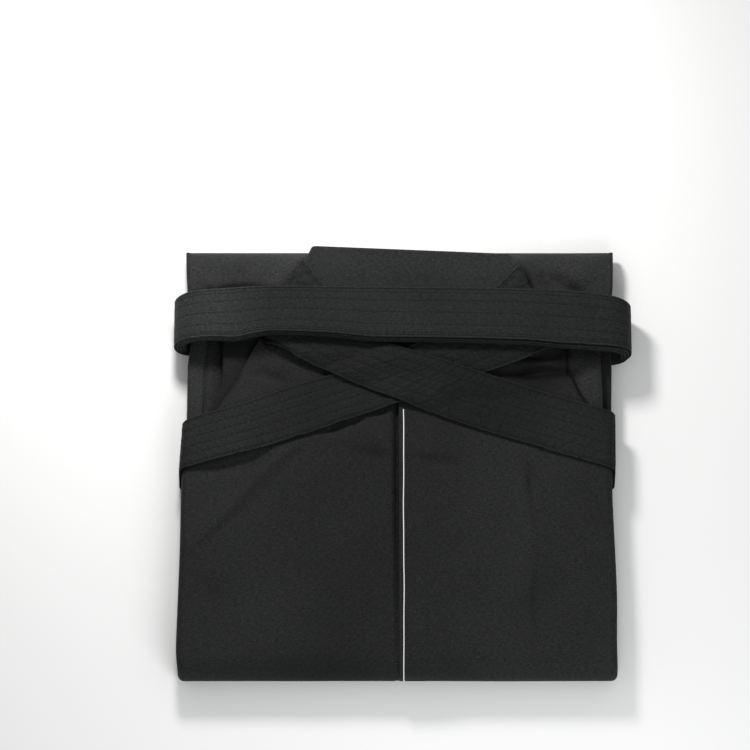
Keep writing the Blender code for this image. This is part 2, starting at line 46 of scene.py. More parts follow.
# The tables are in millimetres, in the plan that the garment was measured in:
# X to the wearer's right, Y from the near roll to the waist end, Z up from the surface.
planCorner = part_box("front_panel_right")[0]
planShift = np.array([planCorner[0] + 0.001, planCorner[1] + 0.1672, 0.0])

garment = {
    "seam": 0.4,            # between pieces that lie on each other
    "lowerTop": 19.0,       # the lower two thirds
    "frontTop": 26.5,       # the pleated front panels
    "backTop": 28.5,        # the back panels
    "rollY": -168.6,        # axis of the near roll
    "farRollY": 170.0,
    "panelWall": 1.6,
    "strapWall": 2.0,
    "turns": 4,
    "turnPitch": 2.3,
    "strapFloor": 0.3,
}
seam = garment["seam"]
rollRadius = garment["backTop"] / 2
strapUnder = garment["strapFloor"] + 0.35 + garment["strapWall"]
bandUnder = strapUnder + (garment["turns"] - 1) * garment["turnPitch"]


def columns(names, *rows):
    # A short table, as one array for each named column.
    return dict(zip(names.split(), np.array(rows, float).T))


sides = columns(
    "y left right",
    (-181, -176.0, 166.3), (-160, -177.3, 166.0), (-118, -176.4, 166.7), (-77, -175.5, 165.8),
    (-30, -175.2, 164.6), (0, -173.8, 165.0), (45, -172.0, 165.6), (78, -171.8, 166.2),
    (95, -170.2, 166.2), (132, -170.4, 166.6), (150, -173.2, 168.4), (180, -174.6, 169.2),
)


def curve(at, values, x):
    # A smooth line through a table's points, level past its ends: a cubic whose slope at each point
    # is the harmonic mean of the two neighbouring slopes, or nothing where they differ in sign.
    rise = np.diff(values) / np.diff(at)
    steady = rise[:-1] * rise[1:] > 0
    slopes = np.concatenate([rise[:1], np.zeros(len(at) - 2), rise[-1:]])
    slopes[1:-1][steady] = 2 / (1 / rise[:-1][steady] + 1 / rise[1:][steady])
    x = np.clip(x, at[0], at[-1])
    place = np.clip(np.searchsorted(at, x, side="right") - 1, 0, len(at) - 2)
    span = at[place + 1] - at[place]
    t = (x - at[place]) / span
    return (
        values[place] * (1 + 2 * t) * (1 - t) ** 2
        + slopes[place] * span * t * (1 - t) ** 2
        + values[place + 1] * t * t * (3 - 2 * t)
        - slopes[place + 1] * span * t * t * (1 - t)
    )


def ease(t):
    # A step from 0 to 1, level at both ends: 3 t squared less 2 t cubed.
    t = np.clip(t, 0.0, 1.0)
    return t * t * (3 - 2 * t)


def bell(t):
    # A bell round 0: e to the power of minus t squared.
    return np.exp(-(t**2))


def sideX(hand, y):
    # Where the garment's side stands, at a place along the body.
    return curve(sides["y"], sides[hand], y)


def inward(hand):
    # Which way along X the middle lies from that side.
    return 1.0 if hand == "left" else -1.0


def otherHand(hand):
    return "right" if hand == "left" else "left"


def unit(vectors):
    # Each vector divided by its length.
    return vectors / np.maximum(np.linalg.norm(vectors, axis=-1, keepdims=True), 1e-9)


def joined(*parts):
    # Coordinates spread to one shape and put side by side, as the last axis of an array.
    return np.stack(np.broadcast_arrays(*parts), axis=-1)


def runAlong(points):
    # The distance covered along a line of points, from 0 at its start.
    return np.concatenate([[0.0], np.cumsum(np.linalg.norm(np.diff(points, axis=0), axis=-1))])


def runAround(rings):
    # The same round each ring, with one more place for the way back to its start.
    closed = np.concatenate([rings, rings[:, :1]], axis=1)
    around = np.linalg.norm(np.diff(closed, axis=1), axis=-1)
    return np.concatenate([np.zeros((len(rings), 1)), np.cumsum(around, axis=1)], axis=1)


def between(grid, count):
    # More rows between those of a grid, on the smooth cubic through each four neighbours.
    at = np.linspace(0, len(grid) - 1, count)
    i = np.minimum(at.astype(int), len(grid) - 2)
    t = (at - i).reshape(-1, *[1] * (grid.ndim - 1))
    wide = np.concatenate([2 * grid[:1] - grid[1:2], grid, 2 * grid[-1:] - grid[-2:-1]])
    a, b, c, d = wide[i], wide[i + 1], wide[i + 2], wide[i + 3]
    return 0.5 * (2 * b + (c - a) * t + (2 * a - 5 * b + 4 * c - d) * t**2 + (3 * b - a - 3 * c + d) * t**3)


def surfaceNormals(grid):
    # The cross product of the grid's two directions at each point, as a unit vector.
    return unit(np.cross(np.gradient(grid, axis=0), np.gradient(grid, axis=1)))


def creaseHeight(x, y, table, seed=0):
    # Soft ridges and troughs, each between two points: a bell across it that narrows and lowers
    # towards both ends, and swells and thins along it by two slow sines.
    chance = np.random.default_rng(seed)
    height = np.zeros_like(x)
    for x0, y0, x1, y1, width, rise in zip(*table.values()):
        phase = chance.uniform(0, 2 * math.pi, 3)
        runX, runY = x1 - x0, y1 - y0
        length = math.hypot(runX, runY)
        along = ((x - x0) * runX + (y - y0) * runY) / length**2
        inside = np.clip(along, 0.0, 1.0)
        bow = 0.03 * length * np.sin(math.pi * inside + phase[0])
        aside = ((y - y0) * runX - (x - x0) * runY) / length - bow * np.sin(math.pi * inside)
        past = (along - inside) * length
        swell = 1 + 0.25 * np.sin(5.1 * inside + phase[1]) + 0.15 * np.sin(11.7 * inside + phase[2])
        taper = np.sin(math.pi * (0.06 + 0.88 * inside)) ** 0.7
        spread = width * (0.6 + 0.4 * taper)
        height += rise * taper * swell * np.exp(-(aside**2 + past**2) / spread**2)
    return height


def undulation(x, y, wavelength, height, seed):
    # The slight unevenness of pressed cloth: seven sine waves of mixed heading and length, added up.
    chance = np.random.default_rng(seed)
    total = np.zeros_like(x)
    for _ in range(7):
        heading, phase = chance.uniform(0, 2 * math.pi, 2)
        wave = 2 * math.pi / (wavelength * chance.uniform(0.6, 1.7))
        total += np.sin(wave * (x * math.cos(heading) + y * math.sin(heading)) + phase)
    return total * height / 3.5


def steps(*spans):
    # Places from 0 to 1, in groups of equal steps: each span is a length and how many steps it has.
    lengths = np.concatenate([np.full(count, length / count) for length, count in spans])
    return np.concatenate([[0.0], np.cumsum(lengths)]) / lengths.sum()


# Meshes from grids

rimSpacing = 0.0004     # metres of uv from one loop of a rim to the next


def faceCorners(index):
    # The four corners of each cell in a grid of point numbers.
    corners = [index[..., :-1, :-1], index[..., :-1, 1:], index[..., 1:, 1:], index[..., 1:, :-1]]
    return np.stack(corners, axis=-1).reshape(-1, 4)


def makePiece(name, points, quads, uv, material, marks=None, ends=(), smoothAngle=50):
    # One mesh object. Points are in millimetres of the plan, quads index them, uv is in metres for each
    # corner of each quad, and each mark is one number a point that the materials read.
    placed = points * 0.001 + planShift
    corners = placed[quads]
    # six times the volume, as the triple products of both halves of each quad: below 0 if they face in
    volume = np.einsum("ij,ij->", corners[:, 0], np.cross(corners[:, 1], corners[:, 2]))
    volume += np.einsum("ij,ij->", corners[:, 0], np.cross(corners[:, 2], corners[:, 3]))
    mesh = bpy.data.meshes.new(name)
    mesh.from_pydata(placed.tolist(), [], quads.tolist() + list(ends))
    layer = mesh.uv_layers.new(name="cloth")
    endUv = np.zeros((sum(len(end) for end in ends), 2))
    allUv = np.concatenate([uv.reshape(-1, 2), endUv])
    layer.data.foreach_set("uv", allUv.astype(np.float32).ravel())
    marks = {"shade": np.ones(len(points)), **(marks or {})}
    for markName, values in marks.items():
        attribute = mesh.attributes.new(markName, "FLOAT", "POINT")
        attribute.data.foreach_set("value", np.ravel(values).astype(np.float32))
    if volume < 0:
        mesh.flip_normals()
    mesh.materials.append(material)
    mesh.shade_smooth()
    mesh.set_sharp_from_angle(angle=math.radians(smoothAngle))
    piece = bpy.data.objects.new(name, mesh)
    bpy.context.scene.collection.objects.link(piece)
    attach(piece, "root")
    return piece


def makeTube(name, rings, uv, material, marks=None, closeEnds=(False, False)):
    # A ring of points carried along a row of stations. uv has one more column than the rings.
    rows, around = rings.shape[:2]
    index = np.arange(rows * around).reshape(rows, around)
    quads = faceCorners(np.concatenate([index, index[:, :1]], axis=1))
    uvIndex = faceCorners(np.arange(rows * (around + 1)).reshape(rows, around + 1))
    bothEnds = (index[0, ::-1].tolist(), index[-1].tolist())
    ends = [end for end, closed in zip(bothEnds, closeEnds) if closed]
    return makePiece(name, rings.reshape(-1, 3), quads, uv.reshape(-1, 2)[uvIndex], material, marks, ends)


def tubeMarks(edge, shade):
    # What the cloth reads at each point: how rubbed it is, no row of stitches, and its painted light and
    # shade.
    return {"edge": edge, "groove": 0 * edge, "shade": shade}


def makeSlab(name, outer, inner, uv, rim, material, shade, groove=0.0):
    # Cloth with a thickness: two grids, joined all round by loops of points that follow the rim's
    # profile. A row of the rim is a height from -1 (inner face) to 1 (outer face), a reach in half
    # thicknesses, and a tone by which painted shade darkens that loop.
    rows, cols = outer.shape[:2]
    count = rows * cols
    index = np.arange(count).reshape(rows, cols)
    loop = np.concatenate([index[0, :-1], index[:-1, -1], index[-1, :0:-1], index[:0:-1, 0]])
    outwards = np.zeros_like(outer)
    uvOut = np.zeros_like(uv)
    every = slice(None)
    for edge, beside in ((0, 1), (-1, -2), ((every, 0), (every, 1)), ((every, -1), (every, -2))):
        outwards[edge] += unit(outer[edge] - outer[beside])
        uvOut[edge] += unit(uv[edge] - uv[beside])
    outwards = unit(outwards).reshape(-1, 3)[loop]
    uvOut = unit(uvOut).reshape(-1, 2)[loop]
    middle = ((outer + inner) / 2).reshape(-1, 3)[loop]
    half = ((outer - inner) / 2).reshape(-1, 3)[loop]
    reach = np.linalg.norm(half, axis=1, keepdims=True)
    faceUv = uv.reshape(-1, 2)
    points = [outer.reshape(-1, 3), inner.reshape(-1, 3)]
    uvs = [faceUv, faceUv]
    loops = [loop]
    for number, (height, out, _) in enumerate(rim):
        points.append(middle + half * height + outwards * reach * out)
        uvs.append(faceUv[loop] + uvOut * rimSpacing * (number + 1))
        loops.append(2 * count + number * len(loop) + np.arange(len(loop)))
    loops.append(loop + count)
    band = np.array(loops)
    band = np.concatenate([band, band[:, :1]], axis=1)
    faces = faceCorners(index)
    quads = np.concatenate([faces, faces[:, ::-1] + count, faceCorners(band)[:, ::-1]])
    allUv = np.concatenate(uvs)
    rimCount = len(allUv) - 2 * count
    border = np.zeros((rows, cols))
    border[[0, -1]] = 1
    border[:, [0, -1]] = 1
    # the shade mark carries the piece's painted light and shade to both faces, darker round the rim by its
    # painted shade
    face = np.broadcast_to(shade, (rows, cols)).ravel()
    marks = {
        "edge": np.concatenate([border.ravel(), border.ravel(), np.ones(rimCount)]),
        "groove": np.concatenate([np.broadcast_to(groove, (rows, cols)).ravel(), np.zeros(count + rimCount)]),
        "shade": np.concatenate([face, face, *[face[loop] * tone for _, _, tone in rim]]),
    }
    return makePiece(name, np.concatenate(points), quads, allUv[quads], material, marks)


foldedRim = [(math.sin(a), math.cos(a), 1.0) for a in np.radians([62, 35, 10, -15, -40, -65])]
# two plies with a groove between them: height, reach and tone of each loop, the tone a painted
# shade that darkens the groove and the side below the outer ply
doublePlyRim = [
    (0.88, 0.42, 1.0), (0.62, 0.66, 0.8), (0.34, 0.62, 0.5), (0.16, 0.3, 0.2),
    (-0.04, 0.28, 0.2), (-0.2, 0.66, 0.55), (-0.5, 0.74, 0.45), (-0.85, 0.45, 0.3),
]


# Materials


def nodeGroup(name, inputs, outputs):
    group = bpy.data.node_groups.new(name, "ShaderNodeTree")
    for socketName, kind, value in inputs:
        socket = group.interface.new_socket(socketName, in_out="INPUT", socket_type=kind)
        if value is not None:
            socket.default_value = value
    for socketName, kind in outputs:
        group.interface.new_socket(socketName, in_out="OUTPUT", socket_type=kind)
    return group, group.nodes.new("NodeGroupInput"), group.nodes.new("NodeGroupOutput")


def wire(tree, node, socket, value):
    # A value goes into the socket as a number, or as a link where it is another node's output.
    if isinstance(value, bpy.types.NodeSocket):
        tree.links.new(value, node.inputs[socket])
    elif value is not None:
        node.inputs[socket].default_value = value


def calc(tree, operation, *values):
    node = tree.nodes.new("ShaderNodeMath")
    node.operation = operation
    for socket, value in enumerate(values):
        wire(tree, node, socket, value)
    return node.outputs[0]


def noise(tree, vector, scale, detail=2.0, roughness=0.5):
    node = tree.nodes.new("ShaderNodeTexNoise")
    wire(tree, node, "Vector", vector)
    wire(tree, node, "Scale", scale)
    wire(tree, node, "Detail", detail)
    wire(tree, node, "Roughness", roughness)
    return node.outputs["Fac"]


def scaled(tree, vector, scale):
    node = tree.nodes.new("ShaderNodeMapping")
    wire(tree, node, "Vector", vector)
    node.inputs["Scale"].default_value = scale
    return node.outputs["Vector"]


def mottle(tree, vector, scale, detail=2.0, roughness=0.5):
    # Noise that swings both ways about 0.
    return calc(tree, "SUBTRACT", noise(tree, vector, scale, detail, roughness), 0.5)


def arithmetic(tree):
    # Product, sum, and product plus a third value, each as a function of numbers or sockets.
    def named(operation):
        return lambda *values: calc(tree, operation, *values)

    return named("MULTIPLY"), named("ADD"), named("MULTIPLY_ADD")


weaveShape = {
    "wander": 140.0,        # bends in the threads, for each metre
    "sway": 5.0,
    "dip": 0.35,            # how far a thread sinks under the other set
    "slubAlong": 300.0,     # thick and thin places, for each metre along a thread and across it
    "slubAcross": 1050.0,
    "slubRelief": 0.8,
    "ground": 0.86,         # the tone down between the threads
    "crown": 0.2,           # and what their crowns add
}


def makeWeaveGroup():
    # Plain weave: each set of threads is the size of a sine across it, over the other set where the
    # product of both sines is above 0 or below 0, and the higher set shows. Noise that is drawn out
    # along each set gives thick and thin places.
    tree, given, result = nodeGroup(
        "plainWeave",
        [("Vector", "NodeSocketVector", None), ("Threads", "NodeSocketFloat", 1500.0),
         ("Slub", "NodeSocketFloat", 0.1)],
        [("Height", "NodeSocketFloat"), ("Tone", "NodeSocketFloat")],
    )
    times, plus, timesPlus = arithmetic(tree)
    vector = given.outputs["Vector"]
    axes = tree.nodes.new("ShaderNodeSeparateXYZ")
    wire(tree, axes, 0, vector)
    sway = times(mottle(tree, vector, weaveShape["wander"]), weaveShape["sway"])
    waves = []
    for axis in ("X", "Y"):
        turns = times(axes.outputs[axis], given.outputs["Threads"])
        waves.append(calc(tree, "SINE", plus(times(turns, math.pi), sway)))
    over = calc(tree, "SIGN", times(waves[0], waves[1]))
    dip = weaveShape["dip"]
    warp = times(calc(tree, "ABSOLUTE", waves[0]), timesPlus(over, dip, 1 - dip))
    weft = times(calc(tree, "ABSOLUTE", waves[1]), timesPlus(over, -dip, 1 - dip))
    height = calc(tree, "MAXIMUM", warp, weft)
    along, across = weaveShape["slubAlong"], weaveShape["slubAcross"]
    warpSlub = mottle(tree, scaled(tree, vector, (along, across, 1.0)), 1.0, 3.0, 0.65)
    weftSlub = mottle(tree, scaled(tree, vector, (across, along, 1.0)), 1.0, 3.0, 0.65)
    slub = timesPlus(weftSlub, 0.7, warpSlub)
    tone = timesPlus(times(slub, 4.0), given.outputs["Slub"], weaveShape["ground"])
    wire(tree, result, "Height", timesPlus(slub, weaveShape["slubRelief"], height))
    wire(tree, result, "Tone", timesPlus(height, weaveShape["crown"], tone))
    return tree


handlingAndShadeShape = {
    "patches": 14.0,        # broad light and dark places, for each metre
    "mottle": 760.0,        # and the fine ones
    "groove": 0.4,          # how much painted shade falls along a row of stitches
    "lint": 55.0,           # places for a speck of lint, for each metre
    "lintSize": 0.022,
    "lintGroups": 31.0,
    "lintRarity": 0.62,
}


def makeHandlingAndShadeGroup():
    # How the cloth has been handled, with painted shade: broad patches and a fine mottle added up, more
    # of it on a rubbed edge, painted shade along a row of stitches, and specks of lint at some of the
    # cells' middles.
    tree, given, result = nodeGroup(
        "handledClothGrooveShade",
        [("Vector", "NodeSocketVector", None), ("Edge", "NodeSocketFloat", 0.0),
         ("Groove", "NodeSocketFloat", 0.0), ("Patches", "NodeSocketFloat", 0.12),
         ("Rub", "NodeSocketFloat", 0.25), ("Lint", "NodeSocketFloat", 0.5)],
        [("Tone", "NodeSocketFloat"), ("Roughness", "NodeSocketFloat")],
    )
    times, plus, timesPlus = arithmetic(tree)
    vector = given.outputs["Vector"]
    broad = mottle(tree, vector, handlingAndShadeShape["patches"], 3.0)
    fine = mottle(tree, vector, handlingAndShadeShape["mottle"], 4.0, 0.7)
    patches = times(timesPlus(fine, 1.6, broad), given.outputs["Patches"])
    worn = times(given.outputs["Edge"], timesPlus(fine, 2.0, 1.0))
    tone = timesPlus(worn, given.outputs["Rub"], timesPlus(patches, 2.0, 1.0))
    # painted shade: less tone down a row of stitches
    tone = times(tone, timesPlus(given.outputs["Groove"], -handlingAndShadeShape["groove"], 1.0))
    cells = tree.nodes.new("ShaderNodeTexVoronoi")
    wire(tree, cells, "Vector", vector)
    wire(tree, cells, "Scale", handlingAndShadeShape["lint"])
    speck = calc(tree, "LESS_THAN", cells.outputs["Distance"], handlingAndShadeShape["lintSize"])
    groups = noise(tree, vector, handlingAndShadeShape["lintGroups"], 1.0)
    rare = calc(tree, "GREATER_THAN", groups, handlingAndShadeShape["lintRarity"])
    lint = times(times(speck, rare), given.outputs["Lint"])
    wire(tree, result, "Tone", plus(tone, lint))
    wire(tree, result, "Roughness", times(patches, -0.6))
    return tree


weaveGroup = makeWeaveGroup()
handlingAndShadeGroup = makeHandlingAndShadeGroup()


def newMaterial(name):
    material = bpy.data.materials.new(name)
    material.use_nodes = True
    tree = material.node_tree
    return material, tree, tree.nodes["Principled BSDF"]


def markOf(tree, name):
    # One of the mesh's marks, as a socket.
    attribute = tree.nodes.new("ShaderNodeAttribute")
    attribute.attribute_name = name
    return attribute.outputs["Fac"]


def dye(tree, shader, colour, tone):
    # The base colour: one colour times a tone that changes over the surface.
    dyed = tree.nodes.new("ShaderNodeVectorMath")
    dyed.operation = "SCALE"
    dyed.inputs[0].default_value = colour
    wire(tree, dyed, "Scale", tone)
    wire(tree, shader, "Base Color", dyed.outputs[0])


def emboss(tree, shader, height, distance):
    # Relief too fine for the mesh, as a bump of that height in metres.
    bump = tree.nodes.new("ShaderNodeBump")
    bump.inputs["Strength"].default_value = 1.0
    bump.inputs["Distance"].default_value = distance
    wire(tree, bump, "Height", height)
    wire(tree, shader, "Normal", bump.outputs["Normal"])


def clothMaterial(name, look):
    material, tree, shader = newMaterial(name)
    uvMap = tree.nodes.new("ShaderNodeUVMap")
    uvMap.uv_map = "cloth"
    weave = tree.nodes.new("ShaderNodeGroup")
    weave.node_tree = weaveGroup
    wire(tree, weave, "Vector", uvMap.outputs["UV"])
    handledAndShaded = tree.nodes.new("ShaderNodeGroup")
    handledAndShaded.node_tree = handlingAndShadeGroup
    wire(tree, handledAndShaded, "Vector", tree.nodes.new("ShaderNodeTexCoord").outputs["Object"])
    for group, names in ((weave, ("Threads", "Slub")), (handledAndShaded, ("Patches", "Rub", "Lint"))):
        for socket in names:
            wire(tree, group, socket, look[socket.lower()])
    for socket in ("Edge", "Groove"):
        wire(tree, handledAndShaded, socket, markOf(tree, socket.lower()))
    tone = calc(tree, "MULTIPLY", weave.outputs["Tone"], handledAndShaded.outputs["Tone"])
    # the shade mark paints light and shade into the base colour
    dye(tree, shader, look["colour"], calc(tree, "MULTIPLY", tone, markOf(tree, "shade")))
    wire(tree, shader, "Roughness", calc(tree, "ADD", handledAndShaded.outputs["Roughness"], look["roughness"]))
    emboss(tree, shader, weave.outputs["Height"], look["relief"])
    shader.inputs["Specular IOR Level"].default_value = look["specular"]
    shader.inputs["Sheen Weight"].default_value = look["sheen"]
    shader.inputs["Sheen Roughness"].default_value = 0.5
    return material


bodyLook = {
    "colour": (0.0149, 0.0158, 0.0154), "roughness": 0.62, "threads": 1600.0, "relief": 0.00004,
    "slub": 0.55, "patches": 0.26, "rub": 0.25, "lint": 0.6, "specular": 0.07, "sheen": 0.01,
}
strapLook = {
    "colour": (0.0150, 0.0164, 0.0158), "roughness": 0.64, "threads": 1450.0, "relief": 0.00004,
    "slub": 0.55, "patches": 0.28, "rub": 0.36, "lint": 0.6, "specular": 0.06, "sheen": 0.01,
}
threadLook = {
    "dark": (0.006, 0.0065, 0.0063), "white": (0.80, 0.80, 0.78),
    "roughness": 0.8, "specular": 0.08, "fibres": 2600.0, "relief": 0.00005,
}


def threadMaterial(name, colour):
    # Spun fibre: a fine mottle in colour and in height.
    material, tree, shader = newMaterial(name)
    place = tree.nodes.new("ShaderNodeTexCoord").outputs["Object"]
    fibre = noise(tree, place, threadLook["fibres"], 3.0, 0.6)
    dye(tree, shader, colour, calc(tree, "MULTIPLY_ADD", fibre, 0.3, 0.85))
    emboss(tree, shader, fibre, threadLook["relief"])
    shader.inputs["Roughness"].default_value = threadLook["roughness"]
    shader.inputs["Specular IOR Level"].default_value = threadLook["specular"]
    return material


bodyCloth = clothMaterial("bodyCloth", bodyLook)
strapCloth = clothMaterial("strapCloth", strapLook)
darkThread = threadMaterial("stitchThread", threadLook["dark"])
whiteThread = threadMaterial("bastingThread", threadLook["white"])
print("materials made")

# The crossed straps and the band, as plans. The lower layers leave channels for them.

strapShape = {
    "step": 4.25,
    "columns": 15,
    "rise": 0.25,           # steepest way down from what it lies on
    "rest": 5.0,            # how far it stays level past an edge
    "slope": 0.305,         # fall along the body for each millimetre round the side
    "tails": {"left": 15.0, "right": -20.0},
    "tailRows": 13,
    "width": 45.0,
    "rows": 300,
    "fineColumns": 140,
    "onBody": 0.66,         # share of its rows that another strap can lie on
    "stitchRows": (0.055, 0.235, 0.42, 0.60, 0.78, 0.945),
    "quilt": 0.28,
    "pucker": 0.50,
    # painted shade: the straps darker, the left more than the right
    "shade": {"left": 0.58, "right": 0.65},
}
strapPlans = {
    "left": columns(
        "upperX upperY lowerX lowerY",
        (-79.4, 163.1, -109.2, 93.0),
        (-62.0, 139.9, -98.6, 89.3),
        (-42.0, 116.0, -85.0, 81.9),
        (-20.0, 94.2, -60.4, 69.7),
        (0.0, 86.8, -34.3, 57.6),
        (24.0, 79.6, -2.6, 44.3),
        (62.4, 67.0, 50.0, 24.6),
        (110.0, 52.3, 106.0, 6.4),
        (159.4, 37.1, 159.4, -9.8),
    ),
    "right": columns(
        "upperX upperY lowerX lowerY",
        (91.4, 158.2, 121.6, 91.4),
        (73.0, 138.8, 111.0, 86.6),
        (45.0, 117.0, 92.0, 78.6),
        (15.8, 94.2, 62.5, 68.2),
        (-20.0, 79.8, 20.0, 51.6),
        (-54.1, 67.6, -36.0, 31.9),
        (-92.0, 55.4, -86.0, 13.9),
        (-129.2, 41.6, -127.0, 0.9),
        (-167.8, 30.4, -167.8, -10.4),
    ),
}
strapLifts = {"left": columns("x reach rise", (40, 20, 0.3)),
              "right": columns("x reach rise", (-140, 27, 3.0), (-48, 15, 2.2), (-15, 9, 1.2))}
strapShoulder = columns("inset drop", (2.86, 0.43), (1.04, 1.64), (-0.17, 3.46), (-0.6, 5.6))
strapFoot = columns(
    "inset height", (-0.6, 9.5), (-0.6, 4.9), (0.1, 3.3), (2.0, strapUnder), (8.0, strapUnder)
)
strapRoot = columns("out height", (0.8, 31.3), (0.4, 33.1))


def lieOn(x, y, support):
    # Height over what a strap lies on: the highest of all support points, each of which counts less
    # the further off it is, in proportion to the distance past a short rest.
    flat = joined(np.ravel(x), np.ravel(y))
    distance = np.linalg.norm(flat[:, None] - support[None, :, :2], axis=-1)
    fall = strapShape["rise"] * np.maximum(distance - strapShape["rest"], 0.0)
    return (support[None, :, 2] - fall).max(axis=1).reshape(np.shape(x)) + 1.25 * seam


def strapGrid(hand, support):
    # The face that lies on the body: its two edges in plan joined straight across, at the height of
    # what is under it, with its fold at the board before it and its way round the side after it.
    table = strapPlans[hand]
    run = runAlong(joined((table["upperX"] + table["lowerX"]) / 2, (table["upperY"] + table["lowerY"]) / 2))
    at = np.linspace(0, run[-1], int(run[-1] / strapShape["step"]) + 1)
    upper = joined(curve(run, table["upperX"], at), curve(run, table["upperY"], at))
    lower = joined(curve(run, table["lowerX"], at), curve(run, table["lowerY"], at))
    across = np.linspace(0, 1, strapShape["columns"])[None, :, None]
    plan = upper[:, None] * (1 - across) + lower[:, None] * across
    height = lieOn(plan[..., 0], plan[..., 1], support)
    # the near edge stands up off the body here and there
    for x, reach, rise in zip(*strapLifts[hand].values()):
        height = height + rise * bell((plan[..., 0] - x) / reach) * across[..., 0] ** 2
    top = joined(plan[..., 0], plan[..., 1], height)

    fold = unit(lower[0] - upper[0])
    outwards = np.array([fold[1], -fold[0]])
    if outwards @ (upper[0] - upper[1]) < 0:
        outwards = -outwards
    root = [joined(*(plan[0] + outwards * out).T, z) for out, z in zip(*strapRoot.values())]

    farHand = otherHand(hand)
    edge = sideX(farHand, plan[-1, :, 1].mean())
    shoulder = height[-1]
    tail = abs(edge - strapShape["tails"][hand])
    tailInsets = np.linspace(strapFoot["inset"][-1], tail, strapShape["tailRows"] + 1)[1:]
    stations = [(inset, shoulder - drop) for inset, drop in zip(*strapShoulder.values())]
    stations += [(inset, np.full_like(shoulder, z)) for inset, z in zip(*strapFoot.values())]
    stations += [(inset, np.full_like(shoulder, strapUnder)) for inset in tailInsets]
    topInset = abs(edge - plan[-1, 0, 0])
    wrap = []
    length = 0.0
    before = np.zeros(2)
    for inset, level in stations:
        place = np.array([topInset - inset, shoulder.mean() - level.mean()])
        length += np.linalg.norm(place - before)
        before = place
        y = plan[-1, :, 1] - strapShape["slope"] * length
        wrap.append(joined(sideX(farHand, y) - inward(hand) * inset, y, level))
    return np.concatenate([np.array(root), top, np.array(wrap)])


bandPlan = columns(
    "x z",
    (4, bandUnder), (80, bandUnder), (158, bandUnder), (167.5, bandUnder + 0.1), (171.2, 12.0),
    (173.1, 16.8), (173.4, 22.4), (171.8, 27.2), (168.0, 30.8), (160, 33.0), (148, 34.6),
    (136, 36.4), (120, 36.6), (0, 36.6), (-104, 36.6), (-119, 36.3), (-132, 34.6), (-146, 33.4),
    (-158, 32.6), (-168.0, 30.2), (-172.6, 26.2), (-174.0, 21.2), (-173.8, 16.2), (-172.4, 12.0),
    (-169.0, bandUnder + 0.1), (-158, bandUnder), (-80, bandUnder), (-1, bandUnder),
)
bandEdges = columns(
    "x near far",
    (-184, 95.0, 131.8), (-171, 95.6, 134.2), (-151, 96.1, 135.6), (-134, 95.0, 136.2),
    (-117, 97.8, 136.5), (-104, 99.5, 136.8), (-82, 99.1, 136.7), (-52, 97.3, 136.3),
    (-24, 94.4, 136.0), (36, 93.6, 135.4), (95, 91.9, 134.3), (135, 88.8, 132.6),
    (165, 88.5, 130.3), (184, 89.6, 127.4),
)
turnShift = columns("left right", (0.5, 2.2), (1.0, 2.4), (0.4, 1.9), (0.0, 0.0))

# Painted shade, down in the folds, hollows and slits and under the band's edge, and a painted
# highlight on a ridge where the share is below 0: lines, each with the share of its tone that is lost.
paintedShadeLines = columns(
    "x0 y0 x1 y1 width dark",
    (94, 166, 107, 138, 3.2, 0.85),
    (107, 160, 118, 148, 5.0, 0.28),
    (119, 158, 148, 139, 3.6, 0.60),
    (-168, 145, -96, 147, 3.4, 0.80),
    (-157, 141, -155, 150, 2.5, 0.30),
    (-87, 162, -99, 140, 3.6, 0.50),
    (-130, 150, -104, 146, 8.0, 0.12),
    (74, 67, 142, 71, 6.0, 1.00),
    (92, 84, 132, 84, 3.8, 0.70),
    (96, 77, 122, 78, 2.2, -0.45),
    (84, 59, 134, 64, 8.0, 0.36),
    (112, 90, 160, 84, 6.0, 0.45),
    (131.6, 71, 150, 36, 1.8, 0.75),
    (129.8, 97, 131.4, 68, 2.4, 0.50),
    (-149.5, 36, -121.5, 87, 2.2, 0.55),
    (-123, 72, -85, 60.5, 3.4, 0.50),
    (-42, 4, -5, -2, 5.0, 0.34),
    (3, -1, 42, -5, 5.0, 0.30),
    (88, -128, 128, -90, 9.0, 0.20),
    (-80, 8, -168, -84, 2.8, 0.16),
    (-166, -98, -140, -122, 6.0, 0.14),
    (98, 4, 104, -64, 3.0, 0.26),
    (104, -64, 103, -160, 3.0, 0.16),
)


def paintedFoldShade(x, y, share):
    # Ridges of painted shade along the lines of the table, taken from a tone of 1.
    return 1 - np.clip(creaseHeight(x, y, paintedShadeLines, 19), -0.5, 0.84) * share


# The lower layers of both legs

legLook = {
    "sidePoints": 76,       # up each side, over its layered edges
    "sideShare": 0.955,     # how much of the height they cover
    "topPoints": 190,
    "rollPoints": 40,       # of those, near each side
    "bottomPoints": 40,
    "lengthPoint": 130,     # the point of each section that the length is measured at
    "step": 2.1,
    "plies": 15,            # single thicknesses that show at the sides
    "plyDepth": 0.22,
    "flatDrop": 0.4,
    "cornerReach": 1.6,     # how far the far corners stand out
    "paintedLightFar": 0.8,        # painted light added at the far end, at its right corner and along the left roll
    "paintedLightCorner": 0.1,
    "paintedLightLeft": 0.6,
    "flat": (0.74, 0.36),
}
layerEdges = columns(
    "height inset",
    (0.000, 3.2), (0.040, 1.0), (0.130, 0.3), (0.215, 1.2), (0.250, 2.9), (0.285, 1.0),
    (0.380, 0.0), (0.465, 0.9), (0.500, 3.0), (0.535, 0.8), (0.640, 0.1), (0.730, 1.1),
    (0.765, 2.7), (0.800, 1.0), (0.880, 0.3), (0.960, 1.4),
)
topRoll = columns(
    "inset drop",
    (1.4, 0.76), (4.0, 0.1), (9.0, 0.0), (12.2, 0.5), (14.2, 2.4), (16.0, 1.2), (21.0, 0.5),
    (26.0, 0.9), (29.0, 2.2), (34.0, 1.3), (45.0, 0.7), (90.0, 0.6),
)
